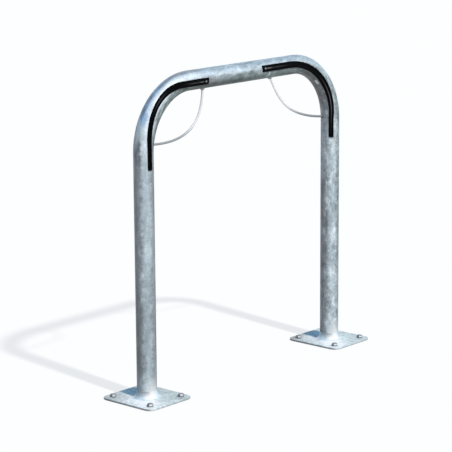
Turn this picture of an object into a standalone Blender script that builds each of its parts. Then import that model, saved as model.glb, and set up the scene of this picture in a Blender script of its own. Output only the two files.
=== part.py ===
"""Hoop bike stand: a bent galvanised tube on two bolted base plates, for leaning and locking a bicycle.

Metres, +Z up. X runs along the hoop, Y through it, and the origin is on the ground midway between the legs.
The side with the two protector strips faces -Y.
"""

import math

import bmesh
import bpy
from mathutils import Matrix, Vector

# Gap left between pieces that touch or are welded together
GAP = 0.0003

# Hoop tube
TUBE_DIAMETER = 0.0483
TUBE_WALL = 0.0032
LEG_SPACING = 0.700
HOOP_HEIGHT = 0.775
BEND_RADIUS = 0.156
TUBE_SIDES = 32
BEND_STEPS = 20

# Base plates, with four anchor holes each and a zinc drain hole under the leg
PLATE_WIDTH = 0.150
PLATE_DEPTH = 0.165
PLATE_THICKNESS = 0.005
PLATE_CORNER_RADIUS = 0.019
PLATE_EDGE_BEVEL = 0.0005
HOLE_INSET = 0.0215
HOLE_DIAMETER = 0.010
DRAIN_DIAMETER = 0.020
CORNER_STEPS = 5
HOLE_SIDES = 24

# Fillet weld round the foot of each leg
FOOT_WELD_HEIGHT = 0.021
FOOT_WELD_WIDTH = 0.011
FOOT_WELD_LIP = 0.0006
FOOT_WELD_STEPS = 6

# Anchor bolts and washers
BOLT_DIAMETER = 0.008
BOLT_HEAD_FLATS = 0.013
BOLT_HEAD_HEIGHT = 0.0053
BOLT_HEAD_BEVEL = 0.0004
WASHER_DIAMETER = 0.016
WASHER_BORE = 0.009
WASHER_THICKNESS = 0.0016
BOLT_SIDES = 20

# Round bars bent across the two upper corners, with the places of their welded ends across the tube along +Y
LOCKING_BAR_DIAMETER = 0.006
LOCKING_BAR_TOP_OFFSET = -0.007
LOCKING_BAR_LEG_OFFSET = 0.007
LOCKING_BAR_BURY = 0.007
LOCKING_BAR_SIDES = 12
LOCKING_WELD_DIAMETER = 0.0115
LOCKING_WELD_HEIGHT = 0.0035
LOCKING_WELD_SIDES = 20
LOCKING_WELD_RINGS = 12
LEFT_EYE_REACH = 0.2000
LEFT_EYE_DROP = 0.1384
LEFT_EYE_TOP_PULL = 0.0617
LEFT_EYE_LEG_PULL = 0.1655
LEFT_EYE_TOP_LEAN = 2.5
LEFT_EYE_LEG_RISE = -6.5
RIGHT_EYE_REACH = 0.2497
RIGHT_EYE_DROP = 0.1482
RIGHT_EYE_TOP_PULL = 0.0524
RIGHT_EYE_LEG_PULL = 0.1624
RIGHT_EYE_TOP_LEAN = 32.8
RIGHT_EYE_LEG_RISE = 5.7

# Grooved rubber strips round the outside of each bend, on the -Y side of the tube; each widens between two shares
# of its length from its end on the leg
STRIP_BAR_END_WIDTH = 0.0163
STRIP_THICKNESS = 0.0026
STRIP_EDGE_THICKNESS = 0.0014
STRIP_FLOOR_THICKNESS = 0.0011
STRIP_GROOVE_WIDTH = 0.0062
STRIP_RIB_ROUND = 0.0012
STRIP_STEPS = 56
LEFT_STRIP_BAR_RUN = 0.0470
LEFT_STRIP_LEG_RUN = 0.0364
LEFT_STRIP_BAR_OFFSET = -0.0035
LEFT_STRIP_LEG_OFFSET = 0.0036
LEFT_STRIP_BEND_REACH = 0.115
LEFT_STRIP_BEND_DROP = 0.130
LEFT_STRIP_LEG_END_WIDTH = 0.0114
LEFT_STRIP_NARROW_SHARE = 0.38
LEFT_STRIP_WIDE_SHARE = 0.77
RIGHT_STRIP_BAR_RUN = 0.1425
RIGHT_STRIP_LEG_RUN = 0.0453
RIGHT_STRIP_BAR_OFFSET = 0.0048
RIGHT_STRIP_LEG_OFFSET = -0.0169
RIGHT_STRIP_BEND_REACH = 0.175
RIGHT_STRIP_BEND_DROP = 0.1505
RIGHT_STRIP_LEG_END_WIDTH = 0.0126
RIGHT_STRIP_NARROW_SHARE = 0.07
RIGHT_STRIP_WIDE_SHARE = 0.41

# Screw that holds each strip at its end on the top bar
SCREW_INSET = 0.010
SCREW_HEAD_DIAMETER = 0.0054
SCREW_HEAD_HEIGHT = 0.0017
SCREW_HEAD_ROUND = 0.0009
SCREW_SHANK_DIAMETER = 0.0029
SCREW_END_LENGTH = 0.002
SCREW_SIDES = 20

# Sizes that follow from the ones above
TUBE_RADIUS = TUBE_DIAMETER / 2
BAR_HEIGHT = HOOP_HEIGHT - TUBE_RADIUS
TUBE_FOOT = PLATE_THICKNESS + GAP
SIDES = {"left": -1, "right": 1}
CORNERS = {"front_outer": (1, -1), "front_inner": (-1, -1), "back_inner": (-1, 1), "back_outer": (1, 1)}

LOCKING_BARS = {
    "left": {
        "reach": LEFT_EYE_REACH,
        "drop": LEFT_EYE_DROP,
        "top_pull": LEFT_EYE_TOP_PULL,
        "leg_pull": LEFT_EYE_LEG_PULL,
        "top_lean": math.radians(LEFT_EYE_TOP_LEAN),
        "leg_rise": math.radians(LEFT_EYE_LEG_RISE),
    },
    "right": {
        "reach": RIGHT_EYE_REACH,
        "drop": RIGHT_EYE_DROP,
        "top_pull": RIGHT_EYE_TOP_PULL,
        "leg_pull": RIGHT_EYE_LEG_PULL,
        "top_lean": math.radians(RIGHT_EYE_TOP_LEAN),
        "leg_rise": math.radians(RIGHT_EYE_LEG_RISE),
    },
}

STRIPS = {
    "left": {
        "bar_run": LEFT_STRIP_BAR_RUN,
        "leg_run": LEFT_STRIP_LEG_RUN,
        "bar_offset": LEFT_STRIP_BAR_OFFSET,
        "leg_offset": LEFT_STRIP_LEG_OFFSET,
        "bend_reach": LEFT_STRIP_BEND_REACH,
        "bend_drop": LEFT_STRIP_BEND_DROP,
        "leg_end_width": LEFT_STRIP_LEG_END_WIDTH,
        "narrow_share": LEFT_STRIP_NARROW_SHARE,
        "wide_share": LEFT_STRIP_WIDE_SHARE,
    },
    "right": {
        "bar_run": RIGHT_STRIP_BAR_RUN,
        "leg_run": RIGHT_STRIP_LEG_RUN,
        "bar_offset": RIGHT_STRIP_BAR_OFFSET,
        "leg_offset": RIGHT_STRIP_LEG_OFFSET,
        "bend_reach": RIGHT_STRIP_BEND_REACH,
        "bend_drop": RIGHT_STRIP_BEND_DROP,
        "leg_end_width": RIGHT_STRIP_LEG_END_WIDTH,
        "narrow_share": RIGHT_STRIP_NARROW_SHARE,
        "wide_share": RIGHT_STRIP_WIDE_SHARE,
    },
}


def clear_scene():
    for item in list(bpy.data.objects):
        bpy.data.objects.remove(item, do_unlink=True)


def make_collection(name):
    collection = bpy.data.collections.new(name)
    bpy.context.scene.collection.children.link(collection)
    return collection


def make_look(name, colour, roughness, metallic):
    look = bpy.data.materials.new(name)
    look.use_nodes = True
    shader = look.node_tree.nodes["Principled BSDF"]
    shader.inputs["Base Color"].default_value = (*colour, 1.0)
    shader.inputs["Roughness"].default_value = roughness
    shader.inputs["Metallic"].default_value = metallic
    return look


def galvanised_look(name):
    return make_look(name, (0.60, 0.66, 0.70), 0.45, 0.85)


def weld_look(name):
    return make_look(name, (0.68, 0.72, 0.75), 0.50, 0.80)


def fastener_look(name):
    return make_look(name, (0.72, 0.74, 0.75), 0.32, 0.95)


def rubber_look(name):
    return make_look(name, (0.012, 0.012, 0.014), 0.40, 0.0)


def corner_to_world(side, inward, down, y=0.0):
    """A point given from the crossing of the leg's and the bar's centre lines, inwards along the bar and down."""
    return Vector((SIDES[side] * (LEG_SPACING / 2 - inward), y, BAR_HEIGHT - down))


def corner_direction(side, inward, down, y=0.0):
    return Vector((-SIDES[side] * inward, y, -down))


def add_object(name, mesh, look=None, collection=None):
    item = bpy.data.objects.new(name, mesh)
    (collection or PARTS).objects.link(item)
    if look:
        mesh.materials.clear()
        mesh.materials.append(look)
    return item


def add_cutter(name, mesh):
    item = add_object(name, mesh, collection=CUTTERS)
    item.hide_render = True
    item.display_type = "WIRE"
    return item


def cut(item, cutter):
    step = item.modifiers.new("Cut by " + cutter.name, "BOOLEAN")
    step.operation = "DIFFERENCE"
    step.object = cutter
    step.solver = "EXACT"


def smooth(mesh, angle=40.0):
    mesh.shade_smooth()
    mesh.set_sharp_from_angle(angle=math.radians(angle))


def poly_curve(name, points, radius, caps, sides):
    """A round bar or tube along straight steps between points."""
    curve = bpy.data.curves.new(name, "CURVE")
    curve.dimensions = "3D"
    spline = curve.splines.new("POLY")
    spline.points.add(len(points) - 1)
    for knot, point in zip(spline.points, points):
        knot.co = (*point, 1.0)
    curve.bevel_depth = radius
    curve.bevel_resolution = sides // 2 - 2
    curve.use_fill_caps = caps
    return curve


def curve_to_mesh(name, curve):
    """The curve's evaluated mesh with its caps welded on; the curve itself is removed."""
    guide = bpy.data.objects.new(name + "_guide", curve)
    bpy.context.scene.collection.objects.link(guide)
    depsgraph = bpy.context.evaluated_depsgraph_get()
    mesh = bpy.data.meshes.new_from_object(guide.evaluated_get(depsgraph))
    mesh.name = name
    shell = bmesh.new()
    shell.from_mesh(mesh)
    bmesh.ops.remove_doubles(shell, verts=shell.verts, dist=GAP / 10)
    bmesh.ops.recalc_face_normals(shell, faces=shell.faces)
    shell.to_mesh(mesh)
    shell.free()
    bpy.data.objects.remove(guide, do_unlink=True)
    bpy.data.curves.remove(curve)
    return mesh


def lathe(name, profile, ring, sides, look, collection=None):
    """Turns a profile of (radius, height) points, listed down the outer side, about Z."""
    mesh = bpy.data.meshes.new(name)
    edges = [(index, index + 1) for index in range(len(profile) - 1)]
    if ring:
        edges.append((len(profile) - 1, 0))
    mesh.from_pydata([(radius, 0.0, height) for radius, height in profile], edges, [])
    item = add_object(name, mesh, look, collection)
    turn = item.modifiers.new("Turn", "SCREW")
    turn.steps = sides
    turn.render_steps = sides
    turn.use_merge_vertices = True
    turn.merge_threshold = GAP / 30
    turn.use_smooth_shade = True
    return item


def baked(item):
    """The object's evaluated mesh, free of its modifiers; the object is removed."""
    depsgraph = bpy.context.evaluated_depsgraph_get()
    mesh = bpy.data.meshes.new_from_object(item.evaluated_get(depsgraph))
    name = item.name
    bpy.data.objects.remove(item, do_unlink=True)
    mesh.name = name
    return mesh


def cylinder_mesh(name, radius, length, sides):
    mesh = bpy.data.meshes.new(name)
    shell = bmesh.new()
    bmesh.ops.create_cone(
        shell, cap_ends=True, segments=sides, radius1=radius, radius2=radius, depth=length
    )
    shell.to_mesh(mesh)
    shell.free()
    return mesh


def hoop_centre_line():
    """From the left foot up, over and down to the right foot."""
    points = [Vector((-LEG_SPACING / 2, 0.0, TUBE_FOOT))]
    for side, turns in (("left", range(BEND_STEPS + 1)), ("right", range(BEND_STEPS, -1, -1))):
        for step in turns:
            angle = math.pi / 2 * step / BEND_STEPS
            inward = BEND_RADIUS * (1 - math.cos(angle))
            down = BEND_RADIUS * (1 - math.sin(angle))
            points.append(corner_to_world(side, inward, down))
    points.append(Vector((LEG_SPACING / 2, 0.0, TUBE_FOOT)))
    return points


def hoop_tube():
    curve = poly_curve("hoop_tube", hoop_centre_line(), TUBE_RADIUS, False, TUBE_SIDES)
    mesh = curve_to_mesh("hoop_tube", curve)
    smooth(mesh)
    tube = add_object("hoop_tube", mesh, galvanised_look("galvanised_tube"))
    wall = tube.modifiers.new("Wall", "SOLIDIFY")
    wall.thickness = TUBE_WALL
    wall.offset = -1.0
    return tube


def tube_cutter():
    """A solid bar along the whole hoop, a gap wider than the tube all round."""
    curve = poly_curve("tube_cutter", hoop_centre_line(), TUBE_RADIUS + GAP, True, TUBE_SIDES)
    return add_cutter("tube_cutter", curve_to_mesh("tube_cutter", curve))


def circle_points(centre, radius, count):
    turn = 2 * math.pi / count
    return [
        (centre[0] + radius * math.cos(turn * index), centre[1] + radius * math.sin(turn * index))
        for index in range(count)
    ]


def rounded_rectangle(width, depth, radius, steps):
    points = []
    for quarter, (x, y) in enumerate(((1, 1), (-1, 1), (-1, -1), (1, -1))):
        centre_x = x * (width / 2 - radius)
        centre_y = y * (depth / 2 - radius)
        for step in range(steps + 1):
            angle = math.pi / 2 * (quarter + step / steps)
            points.append((centre_x + radius * math.cos(angle), centre_y + radius * math.sin(angle)))
    return points


def hole_place(side, corner):
    outward, y = CORNERS[corner]
    x = SIDES[side] * (LEG_SPACING / 2 + outward * (PLATE_WIDTH / 2 - HOLE_INSET))
    return Vector((x, y * (PLATE_DEPTH / 2 - HOLE_INSET), 0.0))


def base_plate(side):
    name = "base_plate_" + side
    centre = Vector((SIDES[side] * LEG_SPACING / 2, 0.0, 0.0))
    outlines = [rounded_rectangle(PLATE_WIDTH, PLATE_DEPTH, PLATE_CORNER_RADIUS, CORNER_STEPS)]
    outlines.append(circle_points((0.0, 0.0), DRAIN_DIAMETER / 2, HOLE_SIDES))
    for corner in CORNERS:
        outlines.append(circle_points(hole_place(side, corner) - centre, HOLE_DIAMETER / 2, HOLE_SIDES))
    curve = bpy.data.curves.new(name, "CURVE")
    curve.dimensions = "2D"
    curve.fill_mode = "BOTH"
    curve.extrude = PLATE_THICKNESS / 2
    for outline in outlines:
        spline = curve.splines.new("POLY")
        spline.points.add(len(outline) - 1)
        spline.use_cyclic_u = True
        for knot, (x, y) in zip(spline.points, outline):
            knot.co = (x, y, 0.0, 1.0)
    mesh = curve_to_mesh(name, curve)
    plate = add_object(name, mesh, galvanised_look("galvanised_plate_" + side))
    plate.location = centre + Vector((0.0, 0.0, PLATE_THICKNESS / 2))
    bevel = plate.modifiers.new("Edges", "BEVEL")
    bevel.width = PLATE_EDGE_BEVEL
    bevel.segments = 1
    bevel.limit_method = "ANGLE"
    bevel.angle_limit = math.radians(60)
    return plate


def foot_weld(side):
    """Concave fillet between the tube and the plate, with blunt lips."""
    inner = TUBE_RADIUS + GAP
    outer = TUBE_RADIUS + FOOT_WELD_WIDTH
    bottom = PLATE_THICKNESS + GAP
    top = PLATE_THICKNESS + FOOT_WELD_HEIGHT
    profile = [(inner, top)]
    for step in range(FOOT_WELD_STEPS + 1):
        angle = math.pi / 2 * step / FOOT_WELD_STEPS
        radius = outer - (outer - inner - FOOT_WELD_LIP) * math.cos(angle)
        height = top - (top - bottom - FOOT_WELD_LIP) * math.sin(angle)
        profile.append((radius, height))
    profile.append((outer, bottom))
    profile.append((inner, bottom))
    ring = lathe("foot_weld_" + side, profile, True, TUBE_SIDES, weld_look("foot_weld_" + side))
    ring.location = (SIDES[side] * LEG_SPACING / 2, 0.0, 0.0)
    return ring


def bolt_mesh():
    """Hexagon head on a shank that stops level with the underside of the plate."""
    head_base = PLATE_THICKNESS + GAP + WASHER_THICKNESS + GAP
    head_radius = BOLT_HEAD_FLATS / 2 / math.cos(math.pi / 6)
    head = add_object("anchor_bolt", cylinder_mesh("anchor_bolt", head_radius, BOLT_HEAD_HEIGHT, 6))
    head.data.transform(Matrix.Translation((0.0, 0.0, head_base + BOLT_HEAD_HEIGHT / 2)))
    bevel = head.modifiers.new("Edges", "BEVEL")
    bevel.width = BOLT_HEAD_BEVEL
    bevel.segments = 1
    shank_length = head_base + BOLT_HEAD_HEIGHT / 2
    shank = add_cutter("shank_shape", cylinder_mesh("shank_shape", BOLT_DIAMETER / 2, shank_length, BOLT_SIDES))
    shank.data.transform(Matrix.Translation((0.0, 0.0, shank_length / 2)))
    join = head.modifiers.new("Shank", "BOOLEAN")
    join.operation = "UNION"
    join.object = shank
    join.solver = "EXACT"
    mesh = baked(head)
    bpy.data.objects.remove(shank, do_unlink=True)
    smooth(mesh, 25.0)
    return mesh


def washer_mesh():
    bottom = PLATE_THICKNESS + GAP
    top = bottom + WASHER_THICKNESS
    inner = WASHER_BORE / 2
    outer = WASHER_DIAMETER / 2
    profile = [(inner, top), (outer, top), (outer, bottom), (inner, bottom)]
    return baked(lathe("washer", profile, True, BOLT_SIDES, None))


def anchors():
    """A bolt and a washer at each hole of both plates."""
    bolt = bolt_mesh()
    washer = washer_mesh()
    for side in SIDES:
        for corner in CORNERS:
            name = side + "_" + corner
            for kind, mesh in (("anchor_bolt_", bolt), ("washer_", washer)):
                item = add_object(kind + name, mesh.copy(), fastener_look(kind + name))
                item.location = hole_place(side, corner)
    bpy.data.meshes.remove(bolt)
    bpy.data.meshes.remove(washer)


def tube_seat(offset):
    """How far from its centre line the tube's inner side lies, at an offset across the tube."""
    return math.sqrt(TUBE_RADIUS**2 - offset**2)


def inner_face(along, offset):
    """How deep the tube's inner side lies at a distance from the corner and an offset across, and its slope."""
    inner_radius = BEND_RADIUS - tube_seat(offset)
    into_bend = max(BEND_RADIUS - along, 0.0)
    depth = BEND_RADIUS - math.sqrt(inner_radius**2 - into_bend**2)
    return depth, math.asin(into_bend / inner_radius)


def locking_bar_ends(side):
    """Where the round bar meets the top bar and the leg, and the way it sets off from each."""
    sizes = LOCKING_BARS[side]
    lean = sizes["top_lean"]
    rise = sizes["leg_rise"]
    top_depth, _ = inner_face(sizes["reach"], LOCKING_BAR_TOP_OFFSET)
    leg_depth, _ = inner_face(sizes["drop"], LOCKING_BAR_LEG_OFFSET)
    top = corner_to_world(side, sizes["reach"], top_depth, LOCKING_BAR_TOP_OFFSET)
    top_way = corner_direction(side, -math.sin(lean), math.cos(lean))
    leg = corner_to_world(side, leg_depth, sizes["drop"], LOCKING_BAR_LEG_OFFSET)
    leg_way = corner_direction(side, math.cos(rise), -math.sin(rise))
    return top, top_way, leg, leg_way


def locking_bar_end_normals(side):
    """The tube's outward normal, at any length, where each end of the round bar meets it."""
    _, top_slope = inner_face(LOCKING_BARS[side]["reach"], LOCKING_BAR_TOP_OFFSET)
    _, leg_slope = inner_face(LOCKING_BARS[side]["drop"], LOCKING_BAR_LEG_OFFSET)
    seat = tube_seat(LOCKING_BAR_TOP_OFFSET)
    top = corner_direction(side, seat * math.sin(top_slope), seat * math.cos(top_slope), LOCKING_BAR_TOP_OFFSET)
    seat = tube_seat(LOCKING_BAR_LEG_OFFSET)
    leg = corner_direction(side, seat * math.cos(leg_slope), seat * math.sin(leg_slope), LOCKING_BAR_LEG_OFFSET)
    return top, leg


def locking_bar_mesh(name, side, radius):
    """The bent round bar, run on into the tube at both ends."""
    top, top_way, leg, leg_way = locking_bar_ends(side)
    curve = bpy.data.curves.new(name, "CURVE")
    curve.dimensions = "3D"
    curve.resolution_u = 20
    spline = curve.splines.new("BEZIER")
    spline.bezier_points.add(1)
    pulls = (LOCKING_BARS[side]["top_pull"], LOCKING_BARS[side]["leg_pull"])
    for knot, place, way, pull in zip(spline.bezier_points, (top, leg), (top_way, leg_way), pulls):
        knot.co = place - way * LOCKING_BAR_BURY
        knot.handle_left_type = "FREE"
        knot.handle_right_type = "FREE"
        knot.handle_right = place + way * pull
        knot.handle_left = place - way * (LOCKING_BAR_BURY + pull)
        knot.tilt = math.pi / LOCKING_BAR_SIDES
    last = spline.bezier_points[1]
    last.handle_left, last.handle_right = last.handle_right.copy(), last.handle_left.copy()
    curve.bevel_depth = radius
    curve.bevel_resolution = LOCKING_BAR_SIDES // 2 - 2
    curve.use_fill_caps = True
    return curve_to_mesh(name, curve)


def locking_bar(side, tube_space):
    name = "locking_bar_" + side
    mesh = locking_bar_mesh(name, side, LOCKING_BAR_DIAMETER / 2)
    smooth(mesh)
    item = add_object(name, mesh, galvanised_look("galvanised_bar_" + side))
    cut(item, tube_space)
    return item


def locking_welds(side, tube_space):
    """A flattened round bead at each end of the locking bar, hugging the tube."""
    clear = LOCKING_BAR_DIAMETER / 2 + GAP
    sleeve = add_cutter(side + "_sleeve_cutter", locking_bar_mesh(side + "_sleeve_cutter", side, clear))
    top, _, leg, _ = locking_bar_ends(side)
    top_normal, leg_normal = locking_bar_end_normals(side)
    flatness = LOCKING_WELD_HEIGHT / (LOCKING_WELD_DIAMETER / 2)
    for end, place, normal in (("top", top, top_normal), ("leg", leg, leg_normal)):
        name = "locking_weld_" + side + "_" + end
        mesh = bpy.data.meshes.new(name)
        shell = bmesh.new()
        bmesh.ops.create_uvsphere(
            shell,
            u_segments=LOCKING_WELD_SIDES,
            v_segments=LOCKING_WELD_RINGS,
            radius=LOCKING_WELD_DIAMETER / 2,
        )
        bmesh.ops.scale(shell, vec=(1.0, 1.0, flatness), verts=shell.verts)
        shell.to_mesh(mesh)
        shell.free()
        smooth(mesh)
        bead = add_object(name, mesh, weld_look(name))
        bead.rotation_mode = "QUATERNION"
        bead.rotation_quaternion = normal.to_track_quat("Z", "Y")
        bead.location = place
        cut(bead, tube_space)
        cut(bead, sleeve)


def strip_runs(strip):
    """Lengths of the strip's middle line on the leg, round its bend and on the bar."""
    leg_run = BEND_RADIUS + strip["leg_run"] + strip["bar_offset"] - strip["bend_drop"]
    bar_run = BEND_RADIUS + strip["bar_run"] + strip["leg_offset"] - strip["bend_reach"]
    return leg_run, math.pi / 4 * (strip["bend_reach"] + strip["bend_drop"]), bar_run


def strip_length(strip):
    return sum(strip_runs(strip))


def strip_path_point(strip, distance):
    """A point of the strip's middle line, from its end on the leg, as (inward, down) from the corner."""
    leg_run, bend_run, _ = strip_runs(strip)
    turn_inward = strip["bend_reach"] - strip["leg_offset"]
    turn_down = strip["bend_drop"] - strip["bar_offset"]
    if distance < leg_run:
        return -strip["leg_offset"], turn_down + leg_run - distance
    distance -= leg_run
    if distance < bend_run:
        angle = math.pi / 2 * distance / bend_run
        inward = turn_inward - strip["bend_reach"] * math.cos(angle)
        return inward, turn_down - strip["bend_drop"] * math.sin(angle)
    return turn_inward + distance - bend_run, -strip["bar_offset"]


def strip_width(strip, share):
    """The strip's width at a share of its length from its end on the leg."""
    step = (share - strip["narrow_share"]) / (strip["wide_share"] - strip["narrow_share"])
    step = min(max(step, 0.0), 1.0)
    added = STRIP_BAR_END_WIDTH - strip["leg_end_width"]
    return strip["leg_end_width"] + added * step * step * (3 - 2 * step)


def hoop_station(inward, down):
    """The nearest point of the hoop's centre line, the outward way there, and the offset that way."""
    if down > BEND_RADIUS:
        return (0.0, down), (-1.0, 0.0), -inward
    if inward > BEND_RADIUS:
        return (inward, 0.0), (0.0, -1.0), -down
    away = Vector((inward - BEND_RADIUS, down - BEND_RADIUS))
    offset = away.length - BEND_RADIUS
    away.normalize()
    return (BEND_RADIUS + away.x * BEND_RADIUS, BEND_RADIUS + away.y * BEND_RADIUS), tuple(away), offset


def strip_frame(side, distance, across=0.0, radius=TUBE_RADIUS):
    """A point on the tube under the strip, at a distance across its middle line, and the tube's normal there."""
    place, outward, offset = hoop_station(*strip_path_point(STRIPS[side], distance))
    angle = math.asin(offset / radius) + across / radius
    normal = corner_direction(side, *outward) * math.sin(angle) + Vector((0.0, -math.cos(angle), 0.0))
    return corner_to_world(side, *place) + normal * radius, normal


def strip_profile(width):
    """Places across the strip with the share of its full thickness there: two ribs beside a groove."""
    edge = width / 2
    rib = edge - STRIP_RIB_ROUND
    groove = STRIP_GROOVE_WIDTH / 2
    bank = groove + STRIP_RIB_ROUND / 2
    low = STRIP_EDGE_THICKNESS / STRIP_THICKNESS
    floor = STRIP_FLOOR_THICKNESS / STRIP_THICKNESS
    half = [(groove, floor), (bank, 1.0), (rib, 1.0), (edge, low)]
    return [(-place, share) for place, share in reversed(half)] + half


def protector_strip(side):
    """A sheet laid on the tube along the strip's path, thickened outwards."""
    name = "protector_strip_" + side
    length = strip_length(STRIPS[side])
    columns = len(strip_profile(STRIP_BAR_END_WIDTH))
    mesh = bpy.data.meshes.new(name)
    sheet = bmesh.new()
    weights = sheet.verts.layers.deform.new("height")
    bmesh.ops.create_grid(sheet, x_segments=columns - 1, y_segments=STRIP_STEPS, size=0.5)
    for vertex in sheet.verts:
        share = vertex.co.y + 0.5
        width = strip_width(STRIPS[side], share)
        across, height = strip_profile(width)[round((vertex.co.x + 0.5) * (columns - 1))]
        vertex.co, _ = strip_frame(side, length * share, across, TUBE_RADIUS + GAP)
        vertex[weights][0] = height
    sheet.normal_update()
    if sum(face.normal.y for face in sheet.faces) > 0:
        bmesh.ops.reverse_faces(sheet, faces=sheet.faces)
    sheet.to_mesh(mesh)
    sheet.free()
    smooth(mesh)
    strip = add_object(name, mesh, rubber_look(name))
    strip.vertex_groups.new(name="height")
    body = strip.modifiers.new("Body", "SOLIDIFY")
    body.thickness = STRIP_THICKNESS
    body.offset = 1.0
    body.vertex_group = "height"
    return strip


def strip_screw(side, strip, tube):
    """Pan-head screw in the strip's groove, through the strip and the tube's wall."""
    name = "strip_screw_" + side
    place, normal = strip_frame(side, strip_length(STRIPS[side]) - SCREW_INSET)
    seat = GAP + STRIP_FLOOR_THICKNESS + GAP
    head = SCREW_HEAD_DIAMETER / 2
    shank = SCREW_SHANK_DIAMETER / 2
    tip = -TUBE_WALL - SCREW_END_LENGTH
    top = seat + SCREW_HEAD_HEIGHT
    profile = [
        (0.0, top),
        (head - SCREW_HEAD_ROUND, top),
        (head, top - SCREW_HEAD_ROUND),
        (head, seat),
        (shank, seat),
        (shank, tip + shank),
        (0.0, tip),
    ]
    screw = lathe(name, profile, False, SCREW_SIDES, fastener_look(name))
    hole = add_cutter(side + "_screw_hole", cylinder_mesh(side + "_screw_hole", shank + GAP, -4 * tip, SCREW_SIDES))
    for item in (screw, hole):
        item.rotation_mode = "QUATERNION"
        item.rotation_quaternion = normal.to_track_quat("Z", "Y")
        item.location = place
    cut(strip, hole)
    cut(tube, hole)
    return screw


def main():
    tube = hoop_tube()
    tube_space = tube_cutter()
    anchors()
    for side in SIDES:
        base_plate(side)
        foot_weld(side)
        locking_bar(side, tube_space)
        locking_welds(side, tube_space)
        strip = protector_strip(side)
        strip_screw(side, strip, tube)


clear_scene()
PARTS = make_collection("hoop_bike_stand")
CUTTERS = make_collection("cutters")
main()
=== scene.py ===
"""Hoop bike stand: builds the visible pieces of a galvanised cycle hoop, their finishes and a plain stage."""

import math

import bpy
from mathutils import Matrix, Vector


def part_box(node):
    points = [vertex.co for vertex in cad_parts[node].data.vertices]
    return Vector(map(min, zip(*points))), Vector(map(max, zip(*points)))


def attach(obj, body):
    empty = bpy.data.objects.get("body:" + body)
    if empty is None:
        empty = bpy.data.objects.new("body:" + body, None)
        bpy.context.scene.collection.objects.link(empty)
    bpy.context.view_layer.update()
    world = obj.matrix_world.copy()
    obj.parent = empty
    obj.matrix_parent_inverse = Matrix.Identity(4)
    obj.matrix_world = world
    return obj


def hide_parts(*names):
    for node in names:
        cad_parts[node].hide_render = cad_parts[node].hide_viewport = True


bl_info = {
    "name": "Hoop Bike Stand",
    "version": (1, 0, 0),
    "blender": (4, 5, 0),
    "location": "View3D > Sidebar > Hoop Stand",
    "description": "Builds a galvanised hoop bike stand with its base plates, anchors, locking bars and strips",
    "category": "Object",
}

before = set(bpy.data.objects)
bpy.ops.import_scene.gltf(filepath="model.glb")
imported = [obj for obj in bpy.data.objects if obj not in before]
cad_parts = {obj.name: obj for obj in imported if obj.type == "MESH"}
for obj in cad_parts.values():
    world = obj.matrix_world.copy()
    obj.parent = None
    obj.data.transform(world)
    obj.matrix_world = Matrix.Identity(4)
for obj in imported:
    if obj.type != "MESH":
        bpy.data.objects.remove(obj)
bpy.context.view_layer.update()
PLATE_LOW, PLATE_HIGH = (Vector(corner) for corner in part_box("base_plate_right"))
TUBE_LOW, TUBE_HIGH = (Vector(corner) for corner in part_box("hoop_tube"))
WELD_LOW, WELD_HIGH = (Vector(corner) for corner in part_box("foot_weld_right"))
HEAD_LOW, HEAD_HIGH = (Vector(corner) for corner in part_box("anchor_bolt_right_front_outer"))
WASHER_LOW, WASHER_HIGH = (Vector(corner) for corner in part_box("washer_right_front_outer"))

SIDES = {"left": -1, "right": 1}
CORNERS = {"front_outer": (1, -1), "front_inner": (-1, -1), "back_inner": (-1, 1), "back_outer": (1, 1)}


def length(name, description, default):
    return bpy.props.FloatProperty(
        name=name, description=description, default=default, subtype="DISTANCE", unit="LENGTH", precision=4
    )


def angle(name, description, degrees):
    return bpy.props.FloatProperty(
        name=name, description=description, default=math.radians(degrees), subtype="ANGLE", unit="ROTATION"
    )


def colour(name, description, default):
    return bpy.props.FloatVectorProperty(
        name=name, description=description, default=default, size=3, min=0.0, max=1.0, subtype="COLOR"
    )


def amount(name, description, default):
    return bpy.props.FloatProperty(name=name, description=description, default=default, min=0.0)


def sided(kind, name, description, left, right):
    """One property for the left side and one for the right."""
    defaults = {"left": left, "right": right}
    return {side: kind(f"{side.title()} {name}", description, default) for side, default in defaults.items()}


def with_sides(group):
    """Lists a group's sided properties one by one, under left_... and right_..."""
    for key, value in list(group.__annotations__.items()):
        if isinstance(value, dict):
            del group.__annotations__[key]
            group.__annotations__.update({f"{side}_{key}": item for side, item in value.items()})
    return group


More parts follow.
